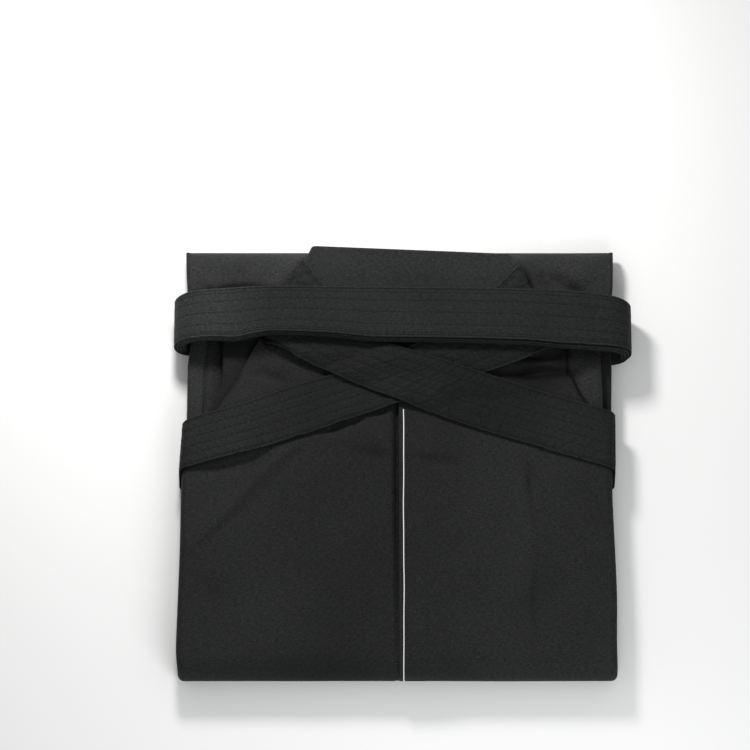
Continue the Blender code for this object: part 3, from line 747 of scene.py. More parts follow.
lowerCreases = columns(
    "x0 y0 x1 y1 width height",
    (119, 158, 148, 138, 4.0, -1.7),
    (130, 168, 161, 142, 7.0, 1.5),
    (146, 172, 152, 150, 7.0, 0.5),
    (-166, 164, -84, 168, 17.0, 1.0),
    (98, 166, 164, 164, 17.0, 0.9),
    (-164, 138, -162, 151, 5.0, -1.3),
    (-155, 138, -153, 158, 5.0, 0.8),
    (-150, 168, -110, 164, 9.0, 0.5),
    (-140, 145, -118, 170, 6.0, -0.5),
    (-171, 30, -168, 92, 3.0, 0.4),
    (-158, 10, -156, 84, 4.0, 0.5),
)
boardSwell = {"from": 0.5, "crest": 7.0, "reach": 9.0, "height": 4.2, "farDrop": 0.35}
channelShape = {"beforeBand": 4.8, "pastBand": 1.2, "besideStrap": 1.2, "bandSlope": 2.0, "strapSlope": 1.6}


def besideBoard(x, y):
    # The cloth swells up beside the stiff board: a bell along each slanted side, a little outside it.
    height = np.zeros_like(x)
    nearLeft, nearRight, farRight, farLeft = boardLook["corners"]
    for (x0, y0), (x1, y1), out in ((nearRight, farRight, 1.0), (nearLeft, farLeft, -1.0)):
        length = math.hypot(x1 - x0, y1 - y0)
        aside = out * ((x - x0) * (y1 - y0) - (y - y0) * (x1 - x0)) / length
        swell = bell((aside - boardSwell["crest"]) / boardSwell["reach"])
        swell = swell * ease((aside - boardSwell["from"]) / 4.0)
        farEnd = 1 - boardSwell["farDrop"] * ease((y - 160.0) / 16.0)
        height += boardSwell["height"] * swell * ease((y - 132.0) / 10.0) * farEnd
    return height


def lowerRing(y, bottom, top, setIn):
    # One section: up the left side over its scalloped layers, across, down the right side, and back.
    # Between plies the side goes in by 1 less the size of a sine, squared.
    height = top - bottom
    share = np.linspace(0, legLook["sideShare"], legLook["sidePoints"])
    inset = curve(layerEdges["height"], layerEdges["inset"], share)
    inset = inset + 0.2 * np.sin(y / 31.0 + 9.0 * share) * (share > 0.1)
    ply = np.abs(np.sin(math.pi * legLook["plies"] * share + 0.4 * np.sin(y / 23.0)))
    inset = setIn + np.maximum(inset + legLook["plyDepth"] * (1 - ply) ** 2, 0.0)
    left, right = sideX("left", y), sideX("right", y)
    leftEdge = joined(left + inset, y, bottom + height * share)
    rightEdge = joined(right - inset, y, bottom + height * share)
    leftX, rightX = left + setIn, right - setIn
    roll = legLook["rollPoints"]
    across = steps((32.0, roll), (270.0, legLook["topPoints"] - 2 * roll), (32.0, roll))
    inner = topRoll["inset"][0] + 0.6
    x = leftX + inner + (rightX - leftX - 2 * inner) * across
    fromSide = np.minimum(x - leftX, rightX - x)
    # the grooves along the rolls run out under the band
    rolled = 1 - ease((y - 118) / 20)
    flatDrop = legLook["flatDrop"]
    drop = flatDrop + (curve(topRoll["inset"], topRoll["drop"], fromSide) - flatDrop) * rolled
    topLine = joined(x, y, top - drop * height / garment["lowerTop"])
    spread = np.linspace(0, 1, legLook["bottomPoints"] + 2)[1:-1]
    bottomX = rightEdge[0, 0] + (leftEdge[0, 0] - rightEdge[0, 0]) * spread
    return np.concatenate([leftEdge, topLine, rightEdge[::-1], joined(bottomX, y, bottom)])


def channelCeiling(x, y, tails):
    # How far the underside is pressed up where the band and the two strap ends pass under it: flat
    # ceilings, with an eased slope on each side.
    near = bandEdges["near"].min() - channelShape["beforeBand"]
    far = bandEdges["far"].max() + channelShape["pastBand"]
    slope = channelShape["bandSlope"]
    ceiling = (bandUnder + seam) * ease((y - near + slope) / slope) * ease((far + slope - y) / slope)
    beside, slope = channelShape["besideStrap"], channelShape["strapSlope"]
    for hand, grid in tails.items():
        tail, foot = grid[-1], grid[-strapShape["tailRows"]]
        fall = (foot[0, 1] - tail[0, 1]) / (foot[0, 0] - tail[0, 0])
        high = tail[0, 1] + fall * (x - tail[0, 0]) + beside
        low = tail[-1, 1] + fall * (x - tail[-1, 0]) - beside
        gate = ease((high + slope - y) / slope) * ease((y - low + slope) / slope)
        gate = gate * ease(inward(hand) * (x - tail[0, 0]) / 2.0 + 1.6)
        ceiling = np.maximum(ceiling, (strapUnder + 2 * seam) * gate)
    return ceiling


def makeLegs(tails):
    # Sections carried along the body: a half circle round the near roll, level, and a half circle
    # at the far roll.
    wall = garment["panelWall"]
    inner = rollRadius - wall - seam
    tucked = wall + 2.5 * seam
    rollY, farRollY = garment["rollY"], garment["farRollY"]
    lowerTop = garment["lowerTop"]
    farRadius = lowerTop / 2
    rings = []
    for angle in np.radians(range(84, -1, -12)):
        reach = inner * math.cos(angle)
        y = rollY + seam - inner * math.sin(angle)
        setIn = tucked + 1.5 * math.sin(angle) ** 3
        rings.append(lowerRing(y, rollRadius - reach, rollRadius + reach, setIn))
    rings.append(lowerRing(rollY + 1.0, 0.0, lowerTop, tucked))
    for y in np.linspace(rollY + 2.1, farRollY, int((farRollY - rollY) / legLook["step"])):
        rings.append(lowerRing(y, 0.0, lowerTop, 0.0))
    for angle in np.radians([*range(7, 78, 7), 83, 88]):
        reach = farRadius * math.cos(angle)
        y = farRollY + farRadius * math.sin(angle)
        rings.append(lowerRing(y, farRadius - reach, farRadius + reach, 0.0))
    rings = np.array(rings)
    x, y, z = rings[..., 0], rings[..., 1], rings[..., 2]
    upper = ease((z - 13.0) / 4.0) * ease((y + 150.0) / 20.0) * (1 - ease((y - 168.0) / 9.0))
    raised = creaseHeight(x, y, lowerCreases, 3) + besideBoard(x, y) + undulation(x, y, 60.0, 0.16, 5)
    rings[..., 2] = np.maximum(z + raised * upper, channelCeiling(x, y, tails))
    # the two far corners stand out a little, as the folded cloth does there
    fromSide = np.minimum(x - sideX("left", y), sideX("right", y) - x)
    rings[..., 1] = y + legLook["cornerReach"] * bell(fromSide / 5.0) * ease((y - 172.0) / 7.0)
    reach = runAround(rings)
    length = runAlong(rings[:, legLook["lengthPoint"]])
    uv = joined(reach, length[:, None]) * 0.001
    # the crests of the layers at the sides are rubbed
    crest = np.clip(1 - fromSide / 0.8, 0, 1) * 0.6
    # painted light, lighter at the far end and along the left roll, times the painted shade of the folds
    farEnd = ease((y - 120) / 25) * (legLook["paintedLightFar"] + legLook["paintedLightCorner"] * ease((x - 95) / 25))
    leftRoll = legLook["paintedLightLeft"] * ease((-150 - x) / 10) * ease((120 - y) / 25)
    tone = (1 + farEnd + leftRoll) * paintedFoldShade(x, y, upper)
    piece = makeTube("legsFolded", rings, uv, bodyCloth, tubeMarks(crest, tone), (False, True))
    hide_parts("legs_folded")
    print("legs", round(float(reach[:, -1].mean()), 1), round(float(length[-1]), 1))


# Places where the panels sink into the softer layers below, as lines with a depth.
hollows = columns(
    "x0 y0 x1 y1 width depth",
    (74, 68, 142, 71, 4.8, 4.4),
    (90, 84, 124, 84, 3.2, 3.0),
    (-164, -17, -104, 2, 5.5, 2.8),
    (-64, 19, -34, 30, 4.5, 2.4),
    (-24, 34, -12, 39, 4.0, 1.6),
)


def sunk(x, y):
    # How deep a panel lies in those places.
    return creaseHeight(x, y, hollows, 17)


# The front panels, pleated, seen in the slits

frontLook = {
    "step": 2.2,
    "edgePoints": 34,
    "edgeShare": 0.93,      # how much of the height the layered edge covers
    "topPoints": 70,
    "underPoints": 12,
    "flat": {"left": (0.31, 0.33), "right": (0.34, 0.33)},
    # painted light and shade: the left panel darker, the right lighter
    "shade": {"left": 0.60, "right": 1.4},
}
frontEdge = columns(
    "y left right",
    (-167.2, 0.0, 0.0), (-26, -172.8, 162.3), (-15, -168.8, 159.6), (8, -167.0, 159.0),
    (18, -164.0, 158.8), (28, -159.5, 158.6), (36, -155.5, 158.5), (45, -150.0, 158.3),
    (56, -145.5, 158.0), (68, -144.0, 157.5), (118, -143.0, 156.0), (125, -96.0, 106.0),
    (160, -80.0, 90.0),
)
frontInner = {"left": -11.0, "right": -1.0}
frontLayers = columns(
    "height inset",
    (0.00, 1.6), (0.06, 0.4), (0.20, 0.0), (0.30, 0.5), (0.335, 1.8), (0.37, 0.4), (0.52, 0.0),
    (0.62, 0.5), (0.655, 2.0), (0.69, 0.4), (0.82, 0.1), (0.93, 1.0),
)
frontPleats = columns(
    "inset drop", (1.0, 0.45), (3.0, 0.1), (8.0, 0.0), (22.0, 0.1), (40.0, 0.0)
)
frontCreases = columns(
    "x0 y0 x1 y1 width height",
    (-140, 22, -134, 90, 3.5, 0.25),
    (-150, 30, -128, 84, 3.0, -0.6),
    (140, 26, 144, 92, 4.0, -0.5),
    (152, 10, 152, 90, 3.0, 0.25),
)


def frontEdgeX(hand, y):
    # Tucked inside the back panel along the near roll, and by the table where the slit shows it.
    beside = sideX(hand, y) + inward(hand) * (garment["panelWall"] + 2 * seam)
    return np.where(y < -26, beside, np.interp(y, frontEdge["y"], frontEdge[hand]))


def makeFrontPanel(hand):
    # A ring carried along the body: up over the stacked pleats at the outer edge, across to the
    # middle, and back underneath.
    bottom = garment["lowerTop"] + seam
    y = np.concatenate([np.arange(-167.2, 118, frontLook["step"]), [118.5, 120, 122, 125, 132, 145, 160]])
    y = y[:, None]
    top = garment["frontTop"] + 4.0 * ease((y - 98) / 6)
    edge = frontEdgeX(hand, y)
    share = np.linspace(0, frontLook["edgeShare"], frontLook["edgePoints"])[None]
    layerInset = curve(frontLayers["height"], frontLayers["inset"], share)
    layerInset = layerInset + 0.15 * np.sin(y / 17.0 + 8 * share)
    layerX = edge + inward(hand) * np.maximum(layerInset, 0.0)
    layerZ = bottom + (top - bottom) * share
    width = np.abs(frontInner[hand] - edge)
    inset = 1.2 + (width - 1.2) * steps((24.0, 30), (120.0, frontLook["topPoints"] - 30))[None]
    pleatX = edge + inward(hand) * inset
    pleatZ = top - curve(frontPleats["inset"], frontPleats["drop"], inset)
    cornerX = np.full_like(y, frontInner[hand])
    spread = np.linspace(0, 1, frontLook["underPoints"] + 2)[None, 1:-1]
    underX = np.concatenate([cornerX, cornerX + (layerX[:, :1] - cornerX) * spread], axis=1)
    x = np.concatenate([layerX, pleatX, underX], axis=1)
    z = np.concatenate([layerZ, pleatZ, np.full_like(underX, bottom)], axis=1)
    rings = joined(x, y, z)
    along = rings[..., 1]
    upper = ease((z - garment["frontTop"] + 3.5) / 2.5)
    rings[..., 2] += np.minimum(creaseHeight(x, along, frontCreases, 7), 0.25) * upper
    rings[..., 2] -= sunk(x, along) * upper
    reach = runAround(rings)
    crest = np.clip(1 - np.abs(x - edge) / 1.2, 0, 1) * 0.7
    # painted light and shade of the panel, times the painted shade of the folds
    tone = frontLook["shade"][hand] * paintedFoldShade(x, along, upper)
    name = f"frontPanel{hand.capitalize()}"
    piece = makeTube(name, rings, joined(reach, y) * 0.001, bodyCloth, tubeMarks(crest, tone))
    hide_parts(f"front_panel_{hand}")
    print("front", hand, round(float(reach[:, -1].mean()), 1))


# The back panels

backLook = {
    "hemRounding": 5.0,
    "step": 2.2,
    "pleatEdgeX": -2.8,
    "underlapX": 12.0,
    "pleatLift": 2.0,
    "pleatTurn": 0.75,      # radians round the near roll where the underlap stops
    "waistLift": 2.0,
    "gapDepth": 5.2,        # how deep the left panel sinks beside the pleat
    "gapX": -5.0,           # and the middle of that gap
    "rollRows": 23,
    "rollShade": 0.16,           # how much painted shade the two places at the near roll get
    "flat": {"left": (0.20, 0.31), "right": (0.19, 0.31)},
}
slit = columns(
    "y left right",
    (-14, -190.0, 180.0), (-8, -172.0, 174.0), (2, -166.0, 168.0), (20, -156.3, 158.4),
    (36, -147.5, 148.9), (52, -138.8, 139.3), (64, -132.2, 132.3), (68, -130.0, 130.2),
    (72, -127.8, 129.6), (78, -124.6, 129.0), (88, -119.0, 128.0), (97, -114.0, 127.0),
)
pleatGap = columns(         # widest a little below the straps, closing towards the near roll
    "y opening", (-190, 0.1), (-168, 0.16), (-150, 0.3), (-90, 0.62), (-40, 1), (-10, 1), (30, 0.8), (60, 0.3)
)
broadFolds = columns(
    "x0 y0 x1 y1 width height",
    (-84, 8, -168, -74, 10, 1.3),
    (-76, -10, -78, -150, 17, 1.3),
    (100, 4, 102, -116, 11, 1.1),
    (96, -2, 156, -54, 9, 0.9),
    (-46, -4, 30, 0, 8, 0.4),
)
fineCreases = columns(
    "x0 y0 x1 y1 width height",
    (-80, 14, -170, -80, 2.2, 0.45),
    (-78, 8, -166, -86, 2.8, -0.6),
    (-72, 10, -70, -150, 2.6, 0.3),
    (-67, 8, -65, -150, 5.0, -0.6),
    (-126, -60, -124, -168, 7.0, 0.25),
    (-150, -96, -142, -166, 6.0, -0.3),
    (96, 2, 104, -64, 3.0, -0.85),
    (101, 2, 109, -66, 3.6, 0.45),
    (104, -66, 103, -160, 2.6, -0.3),
    (120, -96, 84, -130, 10.0, -0.8),
    (132, -90, 96, -132, 8.0, 0.5),
    (92, 2, 158, -58, 2.4, 0.26),
    (88, -6, 150, -62, 6.0, -0.30),
    (-38, 4, -4, -3, 4.5, -0.5),
    (-42, 18, -6, 13, 8.0, 0.6),
    (2, -2, 36, -6, 4.5, -0.4),
    (50, -70, 56, -160, 8.0, 0.22),
    (134, -86, 138, -166, 8.0, 0.25),
    (-127, 80, -106, 67, 3.2, -0.85),
    (-112, 69, -82, 62, 3.6, -0.8),
    (-122, 64, -92, 54, 5.0, 0.5),
    (-110, 80, -84, 73, 5.0, 0.5),
    (88, 76, 123, 77, 2.8, 1.2),
    (-120, -165, -20, -168, 5.0, -0.35),
    (20, -162, 120, -166, 7.0, -0.2),
)


def pressedFolds(x, y):
    # The highest of the broad folds at each point, each a bell of the distance to its line.
    height = np.zeros_like(x)
    for x0, y0, x1, y1, width, rise in zip(*broadFolds.values()):
        runX, runY = x1 - x0, y1 - y0
        along = np.clip(((x - x0) * runX + (y - y0) * runY) / (runX**2 + runY**2), 0.0, 1.0)
        distance = np.hypot(x - x0 - along * runX, y - y0 - along * runY)
        height = np.maximum(height, rise * bell(distance / width))
    return height


def backPaintedLight(x, y, facing):
    # Painted light and shade: darkest along the middle and in the slits, lighter to the sides and the
    # near roll, with two places of painted shade there: eased steps added up, less two bells.
    tone = 0.81 + 0.19 * ease((np.abs(x + 22) - 20) / 80) + 0.1 * ease((-80 - y) / 60)
    tone = tone - 0.1 * ease((y - 20) / 25)
    rollShade = bell((x + 85) / 38) + 0.7 * bell((x - 45) / 30)
    return (tone - backLook["rollShade"] * rollShade * ease((-163 - y) / 6)) * paintedFoldShade(x, y, facing)


def backGrids(hand):
    # Each row starts at the pleat, runs out over the flat, round the side and down a short lip. Rows
    # run from the board down the body and round the near roll, where the height becomes a radius.
    rollY = garment["rollY"]
    left = hand == "left"
    waistY = slit["y"][-1]
    flatY = np.linspace(waistY, rollY, int((waistY - rollY) / backLook["step"]) + 1)
    turned = np.linspace(0.0, math.pi, backLook["rollRows"] + 1)[1:]
    y = np.concatenate([flatY, np.full(len(turned), rollY)])[:, None]
    angle = np.concatenate([np.zeros(len(flatY)), turned])[:, None]
    start = np.full_like(y, backLook["pleatEdgeX"])
    if left:
        start = start - seam
        start = start + (backLook["underlapX"] - start) * (1 - ease(angle / backLook["pleatTurn"]))
    out = -inward(hand)
    hem = backLook["hemRounding"]
    lip = garment["backTop"] - garment["lowerTop"] - 0.6
    edge = sideX(hand, y - rollRadius * np.sin(angle))
    flat = np.abs(edge - start) - hem
    turn = hem * math.pi / 2
    whole = flat + turn + lip - hem
    cut = np.abs(curve(slit["y"], slit[hand], y) - start)
    width = np.where(y < slit["y"][0] + 0.1, whole, np.minimum(whole, cut))
    pleatEnd = (22.0, 22) if left else (16.0, 18)
    along = steps(pleatEnd, (128.0, 54), (26.0, 30))[None] * width
    bend = np.clip((along - flat) / hem, 0.0, math.pi / 2)
    x = start + out * (np.minimum(along, flat) + hem * np.sin(bend))
    depth = -hem * (1 - np.cos(bend)) - np.maximum(along - flat - turn, 0.0)
    facing = np.cos(angle / 2) ** 2
    bodyY = y - rollRadius * angle + 0 * x
    lift = pressedFolds(x, y + 0 * x) * facing + undulation(x, bodyY, 75.0, 0.14, 11 if left else 12)
    fine = creaseHeight(x, bodyY, fineCreases, 21)
    waist = backLook["waistLift"] * ease((y - 80) / 11)
    if left:
        clear = 1 - ease((x - backLook["pleatEdgeX"] + 9) / 8)
        opening = curve(pleatGap["y"], pleatGap["opening"], bodyY)
        sink = backLook["gapDepth"] * opening * bell((x - backLook["gapX"]) / (1.5 + 0.9 * opening))
        lift = lift * (1 - ease((x + 12) / 6)) + waist * clear - sink
        fine = fine * (1 - ease((x + 12) / 5))
    else:
        atPleat = 1 - ease(angle / backLook["pleatTurn"] - 1)
        pleat = backLook["pleatLift"] * (1 - ease((x - 12) / 36)) * atPleat
        lift = np.maximum(pleat, waist) + lift * ease((x - 6) / 30)
    # troughs press only the outer face in, so the cloth thins there and doesn't meet what is under it
    both = lift if left else np.maximum(lift, lift * 0.3)
    press = np.maximum(np.minimum(fine, 0.0) + (lift - both), -0.85)
    both = both + np.maximum(fine, 0.0) - sunk(x, bodyY)
    grids = []
    for inwards, raised in ((0.0, both + press), (garment["panelWall"], both)):
        gridX = x - out * np.sin(bend) * inwards
        reach = rollRadius + depth + raised * np.cos(bend) - np.cos(bend) * inwards
        grids.append(joined(gridX, y - reach * np.sin(angle), rollRadius + reach * np.cos(angle)))
    uv = joined(start + out * along, -bodyY) * 0.001
    return *grids, uv, backPaintedLight(x, bodyY, facing), len(flatY)


def makeBackPanel(hand):
    outer, inner, uv, tone, flatRows = backGrids(hand)
    piece = makeSlab(f"backPanel{hand.capitalize()}", outer, inner, uv, foldedRim, bodyCloth, tone)
    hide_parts(f"back_panel_{hand}")
    return outer, flatRows


# The stiff board in its cloth cover

boardLook = {
    "corners": ((-111.1, 88.0), (122.7, 88.0), (85.7, 170.6), (-72.9, 177.6)),
    "bottom": 30.9,
    "top": 33.3,
    "cornerRadius": 4.0,
    "crown": 0.35,
    # painted light: the board lighter than the cloth round it
    "shade": 1.26,
    "shadeRise": 0.0014,    # painted light added for each millimetre to the right
}
boardEdge = columns(
    "inset height",
    (30, 0.0), (8, 0.0), (1.2, 0.0), (0.5, 0.08), (0.1, 0.25), (0.0, 0.5), (0.15, 0.75), (0.6, 0.93),
    (1.3, 1.0), (2.4, 1.04), (3.6, 1.02), (4.8, 0.99), (6.5, 1.01),
)
boardShrink = (0.9, 0.8, 0.68, 0.55, 0.4, 0.25, 0.1, 0.02)      # the loops of the top, about its middle


def insetOutline(corners, distance):
    # A convex outline moved in by a distance, corner by corner, where its moved sides cross.
    points = np.array(corners, float)
    run = unit(np.roll(points, -1, axis=0) - points)
    moved = points + joined(-run[:, 1], run[:, 0]) * distance
    before = np.roll(moved, 1, axis=0)
    runBefore = np.roll(run, 1, axis=0)
    cross = runBefore[:, 0] * run[:, 1] - runBefore[:, 1] * run[:, 0]
    gap = moved - before
    t = (gap[:, 0] * run[:, 1] - gap[:, 1] * run[:, 0]) / cross
    return before + runBefore * t[:, None]


def boardOutline(inset):
    # The outline with an arc at each corner, and points along its straight sides.
    radius = max(boardLook["cornerRadius"] - inset, 0.3)
    base = insetOutline(boardLook["corners"], inset)
    centres = insetOutline(base, radius)
    run = np.roll(base, -1, axis=0) - base
    heading = np.arctan2(run[:, 1], run[:, 0])
    arcs = []
    for i, centre in enumerate(centres):
        first = heading[i - 1] - math.pi / 2
        sweep = (heading[i] - heading[i - 1]) % (2 * math.pi)
        turned = first + sweep * np.linspace(0, 1, 7)
        arcs.append(centre + radius * joined(np.cos(turned), np.sin(turned)))
    outline = []
    for i, arc in enumerate(arcs):
        following = arcs[(i + 1) % 4][0]
        straight = arc[-1] + (following - arc[-1]) * np.linspace(0, 1, 34)[1:-1, None]
        outline += [arc, straight]
    return np.concatenate(outline)


def makeBoard():
    # Loops of one outline: up the rounded edge by a table of insets and heights, then closing in on
    # the middle of the top, which is crowned by 1 less the square of how far out a loop is.
    bottom, top = boardLook["bottom"], boardLook["top"]
    rings = []
    for inset, height in zip(*boardEdge.values()):
        rings.append(joined(*boardOutline(inset).T, bottom + (top - bottom) * height))
    flat = boardOutline(boardEdge["inset"][-1])
    centre = flat.mean(axis=0)
    for share in boardShrink:
        spot = centre + (flat - centre) * share
        crown = boardLook["crown"] * (1 - share**2)
        wave = 0.12 * np.sin(spot[:, 0] / 19.0 + spot[:, 1] / 27.0)
        rings.append(joined(*spot.T, top + crown + wave * (1 - share)))
    rings = np.array(rings)
    uv = np.concatenate([rings, rings[:, :1]], axis=1)[..., :2] * 0.001
    crest = np.zeros(rings.shape[:2])
    crest[4:9] = 0.6
    # painted light, and painted shade along the near edge, which dips under the straps
    tone = boardLook["shade"] + boardLook["shadeRise"] * rings[..., 0]
    tone = tone * (1 - 0.7 * ease((100 - rings[..., 1]) / 6))
    piece = makeTube("backBoard", rings, uv, strapCloth, tubeMarks(crest, tone), (True, True))
    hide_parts("back_board")


def boardPoints():
    # What a strap can rest on: a grid of points joined straight across the board's corners.
    corners = np.array(boardLook["corners"], float)
    across = np.linspace(0, 1, 50)[:, None, None]
    along = np.linspace(0, 1, 22)[None, :, None]
    near = corners[0] + (corners[1] - corners[0]) * across
    far = corners[3] + (corners[2] - corners[3]) * across
    plan = (near + (far - near) * along).reshape(-1, 2)
    return np.column_stack([plan, np.full(len(plan), boardLook["top"] + 0.1)])


# Quilted straps


def quiltedColumns(stitchRows, width):
    # Places across a strap, closest together at each row of stitching and along both edges.
    near = np.array([-1.5, -0.85, -0.4, 0.0, 0.4, 0.85, 1.5]) / width
    edges = np.array([0.0, 0.4, 0.8, 1.2, 1.6, 2.1]) / width
    places = [*edges, *(1 - edges)]
    for row in stitchRows:
        places.extend(row + near)
    for first, second in zip(stitchRows[:-1], stitchRows[1:]):
        places.extend(first + (second - first) * np.array([0.36, 0.5, 0.64]))
    places = np.unique(np.round([place for place in places if 0 <= place <= 1], 5))
    return places[np.concatenate([[True], np.diff(places) > 0.004])]


def stitchGroove(places, stitchRows, width):
    # The narrow lines that the stitching pulls in: one at each row, and one a little inside each edge.
    rows = np.min(np.abs(places[:, None] - np.array(stitchRows)), axis=1) * width
    inset = np.minimum(places, 1 - places) * width
    return np.maximum(0.28 * bell(rows / 0.6), bell((inset - 1.2) / 0.4))


quiltWaves = ((9.4, 0.28), (6.3, 0.38), (4.3, 0.34))    # length in millimetres and weight of each sine


def quilting(along, across, stitchRows, look, seed):
    # Padding between the rows of stitching, as the arch of a sine, pulled into slanting puckers by
    # three sines of unlike length whose phases differ from row to row.
    chance = np.random.default_rng(seed)
    bounds = np.array([-0.02, *stitchRows, 1.02])
    lastLane = len(bounds) - 2
    lane = np.clip(np.searchsorted(bounds, across, side="right") - 1, 0, lastLane)
    share = (across - bounds[lane]) / (bounds[lane + 1] - bounds[lane])
    arch = np.sin(math.pi * np.clip(share, 0, 1)) ** 0.62
    edgeLane = (lane == 0) | (lane == lastLane)
    phases = chance.uniform(0, 2 * math.pi, (len(bounds), 3))[lane]
    slant = across * look["width"] * 0.75
    wave = np.zeros(np.broadcast_shapes(along.shape, across.shape))
    for number, (length, weight) in enumerate(quiltWaves):
        wave = wave + weight * np.sin(2 * math.pi * (along + slant) / length + phases[..., number])
    return arch * np.where(edgeLane, 0.35, 1.0) * (look["quilt"] + look["pucker"] * wave)


# one stitch from end to end: where each section stands, its height and its thickness
stitchProfile = columns(
    "at lift thin",
    (-0.5, -0.5, 0.45), (-0.38, 0.25, 0.9), (-0.14, 1.0, 1.0),
    (0.14, 1.0, 1.0), (0.38, 0.25, 0.9), (0.5, -0.5, 0.45),
)


def makeStitches(name, outer, rows, fractions, span, look):
    # Dashes of thread along the rows of stitching: each a short bar with five sides, highest in its
    # middle and sunk at both ends. The grid gives each one its place, heading and upward direction.
    normal = surfaceNormals(outer)
    if look.get("flip"):
        normal = -normal
    chance = np.random.default_rng(look["seed"])
    spots, ups = [], []
    for fraction in rows:
        place = np.argmin(np.abs(fractions - fraction))
        path = outer[:, place]
        run = runAlong(path)
        first, last = span[0] * run[-1], span[1] * run[-1]
        middles = np.arange(first + look["pitch"], last - look["pitch"], look["pitch"])
        middles = middles + chance.uniform(-0.12, 0.12, len(middles)) * look["pitch"]
        lengths = look["length"] * chance.uniform(0.86, 1.1, len(middles))
        at = middles[:, None] + lengths[:, None] * stitchProfile["at"]
        spots.append(np.stack([np.interp(at, run, path[:, axis]) for axis in range(3)], axis=-1))
        ups.append(np.stack([np.interp(at, run, normal[:, place, axis]) for axis in range(3)], axis=-1))
    spots = np.concatenate(spots)
    up = unit(np.concatenate(ups))
    heading = unit(spots[:, 1:] - spots[:, :-1])
    heading = np.concatenate([heading, heading[:, -1:]], axis=1)
    sideways = unit(np.cross(up, heading))
    angles = np.linspace(0, 2 * math.pi, 5, endpoint=False) + math.pi / 2
    thin = stitchProfile["thin"] * look["radius"]
    aside = np.outer(thin, np.cos(angles))[..., None] * 1.15
    above = np.outer(thin, np.sin(angles))[..., None] * 0.8
    centre = spots + up * (stitchProfile["lift"] * look["height"])[:, None]
    ring = centre[:, :, None] + sideways[:, :, None] * aside + up[:, :, None] * above
    index = np.arange(ring[..., 0].size).reshape(ring.shape[:3])
    quads = faceCorners(np.concatenate([index, index[:, :, :1]], axis=2))
    ends = np.concatenate([index[:, 0, ::-1], index[:, -1]]).tolist()
    uv = np.zeros((len(quads), 4, 2))
    piece = makePiece(name, ring.reshape(-1, 3), quads, uv, darkThread, None, ends, smoothAngle=80)


strapStitch = {"pitch": 4.4, "length": 2.8, "radius": 0.18, "height": 0.08, "seed": 31, "slot": "strap_cloth"}
strapNicks = columns(
    "x0 y0 x1 y1 width height",
    (133, 31, 142, 27, 1.4, -0.5),
    (-140, 30, -133, 14, 1.6, -0.4),
    (30, 62, 44, 54, 2.0, -0.3),
)


def makeStrap(hand, support):
    # The lower face, drawn finer along and across, and an upper face that stands off it along its
    # normals by the wall and the quilting.
    width = strapShape["width"]
    stitchRows = strapShape["stitchRows"]
    places = quiltedColumns(stitchRows, width)
    rows = between(strapGrid(hand, support), strapShape["rows"])
    fine = strapShape["fineColumns"]
    wide = between(np.swapaxes(rows, 0, 1), fine + 1)
    at = places * fine
    low = np.minimum(at.astype(int), fine - 1)
    part = (at - low)[:, None, None]
    grid = np.swapaxes(wide[low] * (1 - part) + wide[low + 1] * part, 0, 1)
    normal = surfaceNormals(grid)
    if normal[20, 20, 2] < 0:
        normal = -normal
    along = runAlong(grid[:, len(places) // 2])
    pad = quilting(along[:, None], places[None], stitchRows, strapShape, 41 if hand == "left" else 42)
    x, y, z = np.moveaxis(grid, -1, 0)
    onTop = ease((z - 28.0) / 4.0)
    groove = stitchGroove(places, stitchRows, width)[None]
    pad = pad * (0.3 + 0.7 * onTop) + creaseHeight(x, y, strapNicks, 9) * onTop
    pad = np.clip(pad - 0.3 * groove, -0.5, 0.7)
    outer = grid + normal * (garment["strapWall"] + pad)[..., None]
    uv = joined(along[:, None], places * width) * 0.001
    # painted light, lighter at the sides and on the board, and painted shade on the edge that dips under the
    # band
    tone = strapShape["shade"][hand] + 0.26 * ease((np.abs(x) - 60) / 80) + 0.3 * ease((y - 125) / 12)
    if hand == "left":
        dippedShade = ease((-84 - x) / 8) * ease((places[None] - 0.93) / 0.05) * ease((100 - y) / 5)
        tone = tone * (1 - 0.75 * dippedShade)
    name = f"backStrap{hand.capitalize()}"
    piece = makeSlab(name, outer, grid, uv, doublePlyRim, strapCloth, tone, groove)
    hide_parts(f"back_strap_{hand}")
    makeStitches(f"{name}Stitches", outer, stitchRows, places, (0.0, 0.82), strapStitch)
    print("strap", hand, round(float(along[-1]), 1))
    return outer[: int(len(outer) * strapShape["onBody"])]


bandLook = {
    "step": 1.7,
    "stitchRows": (0.075, 0.245, 0.495, 0.735, 0.90),
    "quilt": 0.07,
    "pucker": 0.06,
    "width": 42.0,
    # painted light: the band's tone, lighter to the left end and to the right
    "shade": 0.88,
    "leftPaintedLight": 0.90,
    "rightPaintedLight": 0.14,
}
bandStitch = {"pitch": 3.6, "length": 2.2, "radius": 0.17, "height": 0.05, "seed": 33, "slot": "strap_cloth"}
bandNicks = columns(
    "x0 y0 x1 y1 width height",
    (-166.5, 132, -169.5, 121, 1.3, -0.55),
    (152, 116, 157, 114, 1.3, -0.5),
    (-150, 128, -120, 126, 5.0, -0.15),
    (60, 118, 120, 112, 7.0, 0.15),
)


def bandPath():
    # The band's inner face in the X and Z plane, in even steps, with its outward direction.
    points = joined(bandPlan["x"], bandPlan["z"])
    run = runAlong(points)
    at = np.linspace(0, run[-1], int(run[-1] / bandLook["step"]))
    path = joined(curve(run, points[:, 0], at), curve(run, points[:, 1], at))
    for _ in range(3):
        path[1:-1] = (path[:-2] + 2 * path[1:-1] + path[2:]) / 4
    heading = unit(np.gradient(path, axis=0))
    return path, joined(heading[:, 1], -heading[:, 0])


